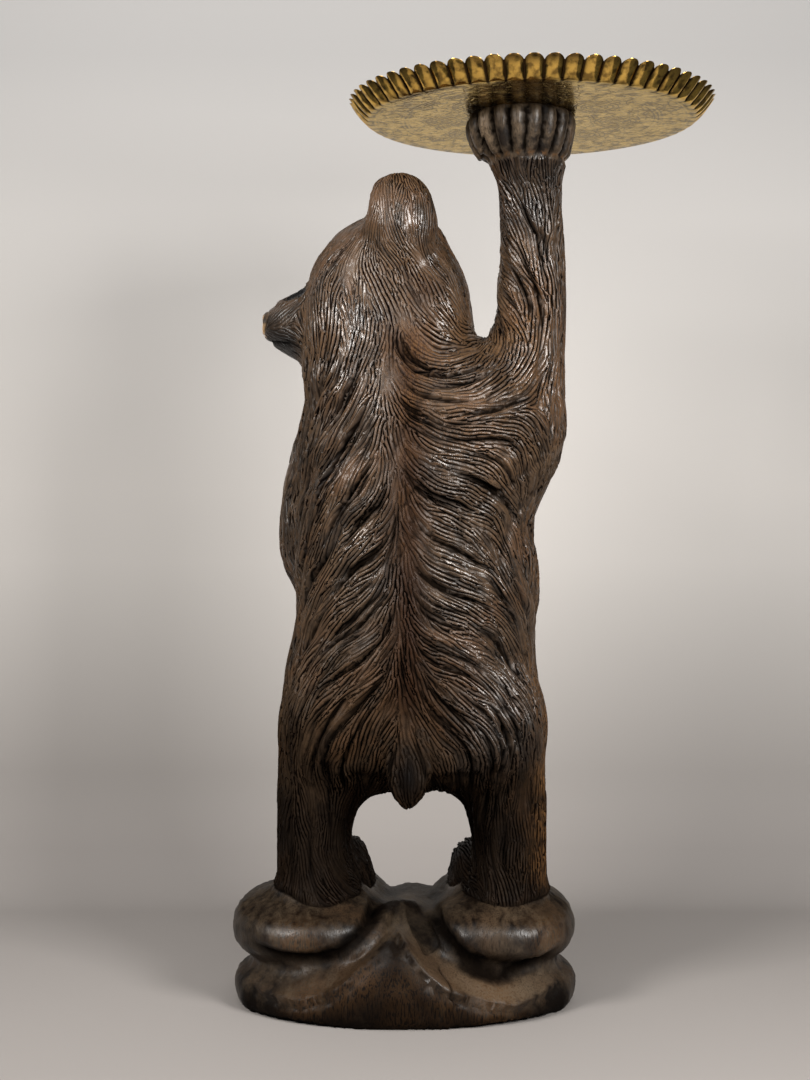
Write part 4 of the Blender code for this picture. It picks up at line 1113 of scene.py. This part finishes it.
BAND, MEDALLIONS, MEDALLION_RADIUS, MEDALLION_SPREAD = 0.033, 8, 0.027, 0.088
across_band = brass.maths("PINGPONG", radius, BAND / 2)
lines = engraved_line(across_band, 0.0018)
lines = brass.larger(lines, engraved_line(brass.minus(across_band, 0.0042), 0.0014))
petal = brass.maths("ABSOLUTE", brass.maths("SINE", brass.times(bearing, 16.0)))
petal = brass.minus(brass.minus(across_band, 0.0050), brass.times(petal, 0.0085))
lines = brass.larger(lines, engraved_line(petal, 0.0011))
turned_bearing = brass.maths("PINGPONG", bearing, math.pi / MEDALLIONS)
far_part = brass.times(brass.times(radius, 2 * MEDALLION_SPREAD), brass.maths("COSINE", turned_bearing))
from_medallion = brass.maths("SQRT", brass.minus(
    brass.plus(brass.times(radius, radius), MEDALLION_SPREAD ** 2), far_part))
inside = brass.window(from_medallion, MEDALLION_RADIUS, MEDALLION_RADIUS - 0.0008)
rings_inside = engraved_line(brass.maths("PINGPONG", from_medallion, 0.0027), 0.0012)
lines = brass.plus(brass.times(lines, brass.minus(1.0, inside)), brass.times(rings_inside, inside))
scrolls = brass.nodes.new("ShaderNodeTexVoronoi")
scrolls.feature = "DISTANCE_TO_EDGE"
brass.put(scrolls.inputs["Vector"], centred.outputs["Vector"])
brass.put(scrolls.inputs["Scale"], 105.0)
scroll_lines = brass.times(brass.window(scrolls.outputs[0], 0.15, 0.05), 0.85)
lines = brass.larger(lines, scroll_lines)
lines = brass.times(lines, brass.window(radius, FLAT_RADIUS, FLAT_RADIUS - 0.003))
blotch = brass.noise(38.0)
speck = brass.noise(420.0)
on_rim = brass.window(radius, FLAT_RADIUS - 0.002, FLAT_RADIUS + 0.004)
metal = brass.mix(on_rim, FLAT_BRASS, RIM_BRASS)
most = brass.plus(0.35, brass.times(on_rim, 0.45))
tarnish_and_shade = brass.times(brass.window(brass.noise(120.0), 0.44, 0.62), most)
# Painted shade: the rim's upper part is painted dark in blotches.
painted_dark_top = brass.times(brass.window(up, tray_low.z + 0.010, tray_low.z + 0.019), on_rim)
painted_dark_top = brass.times(painted_dark_top, brass.window(blotch, 0.25, 0.60))
tarnish_and_shade = brass.larger(tarnish_and_shade, painted_dark_top)
metal = brass.mix(tarnish_and_shade, metal, TARNISH_AND_TOP_SHADE)
worked = brass.window(brass.noise(90.0), 0.44, 0.56)
worked = brass.larger(worked, brass.times(inside, 0.8))
shade = brass.times(brass.times(worked, 0.38), brass.minus(1.0, on_rim))
worked = brass.plus(brass.times(worked, 0.75), 0.25)
shade = brass.larger(shade, brass.times(lines, worked))
metal = brass.mix(shade, metal, OLD_POLISH)
metal = brass.mix(brass.window(brass.attribute("crease"), 0.06, 0.55), metal, CREASE_DIRT)
brass.put(brass.shader.inputs["Base Color"], metal)
brass.put(brass.shader.inputs["Metallic"], 1.0)
brass.put(brass.shader.inputs["Specular Tint"], (0.86, 0.80, 0.68))
brass.put(brass.shader.inputs["Roughness"], brass.plus(0.11, brass.times(blotch, 0.14)))
dents = brass.plus(brass.times(brass.noise(90.0, detail=1.0), on_rim), brass.times(speck, 0.06))
brass.bump(brass.minus(dents, brass.times(lines, 0.35)), 0.0009, 0.8)
sheet.materials.append(brass.material)
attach(tray, "root")
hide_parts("tray")

# A pale sheet of paper hangs behind the bear and runs forward under it. Its colour holds painted
# light and shade: darker on the floor and the low wall, lightest at middle height, darker near the top.
SWEEP_START, SWEEP_RADIUS, SWEEP_TOP, SWEEP_HALF = -0.42, 0.16, 2.4, 0.85
profile = [(0.85, 0.0), (SWEEP_START, 0.0)]
for k in range(1, 13):
    bend = k / 12 * math.pi / 2
    profile.append((SWEEP_START - SWEEP_RADIUS * math.sin(bend), SWEEP_RADIUS * (1 - math.cos(bend))))
profile.append((SWEEP_START - SWEEP_RADIUS, SWEEP_TOP))
places = [(side * SWEEP_HALF, y, z - 0.0003) for y, z in profile for side in (-1, 1)]
strips = [(2 * k, 2 * k + 1, 2 * k + 3, 2 * k + 2) for k in range(len(profile) - 1)]
paper_mesh = bpy.data.meshes.new("paper_sweep")
paper_mesh.from_pydata(places, [], strips)
paper_mesh.shade_smooth()
sweep = bpy.data.objects.new("paper_sweep", paper_mesh)
bpy.context.scene.collection.objects.link(sweep)
paper = Paint("pale_paper")
paper_parts = paper.nodes.new("ShaderNodeSeparateXYZ")
paper.put(paper_parts.inputs[0], paper.place)
height = paper_parts.outputs[2]
# Painted shade low on the paper and near its top, painted light at middle height.
shade = paper.mix(paper.window(height, 0.06, 0.45), (0.235, 0.218, 0.207), (0.41, 0.390, 0.372))
shade = paper.mix(paper.window(height, 0.55, 1.15), shade, (0.262, 0.256, 0.252))
paper.put(paper.shader.inputs["Base Color"], shade)
paper.put(paper.shader.inputs["Roughness"], 0.85)
paper.put(paper.shader.inputs["Specular IOR Level"], 0.2)
paper_mesh.materials.append(paper.material)

# Two soft lamps stand in front of the bear's back, and a third lights the paper from above.
for name, spot, aim, size, watts, tint in (
        ("left_lamp", (1.10, 1.25, 1.30), (0.0, 0.0, 0.75), 0.65, 46, (1.0, 0.97, 0.93)),
        ("right_lamp", (-1.00, 1.35, 1.00), (0.0, 0.0, 0.45), 0.60, 48, (1.0, 0.98, 0.95)),
        ("paper_lamp", (0.0, 0.35, 2.2), (0.0, -0.60, 1.05), 1.2, 20, (1.0, 1.0, 1.0))):
    lamp = bpy.data.lights.new(name, "AREA")
    lamp.size = size
    lamp.energy = watts
    lamp.color = tint
    stand = bpy.data.objects.new(name, lamp)
    stand.location = spot
    stand.rotation_euler = (Vector(aim) - stand.location).to_track_quat("-Z", "Y").to_euler()
    bpy.context.scene.collection.objects.link(stand)
room = bpy.data.worlds.new("room")
room.use_nodes = True
room.node_tree.nodes["Background"].inputs["Color"].default_value = (0.95, 0.97, 1.0, 1.0)
room.node_tree.nodes["Background"].inputs["Strength"].default_value = 0.10
bpy.context.scene.world = room
bpy.context.scene.view_settings.view_transform = "Standard"

camera = bpy.data.objects.new("camera", bpy.data.cameras.new("camera"))
camera.data.lens = 60
camera.data.sensor_width = 36
camera.location = (0, 1.9, 0.48)
camera.rotation_euler = (math.pi / 2, 0, math.pi)
bpy.context.scene.collection.objects.link(camera)
bpy.context.scene.camera = camera
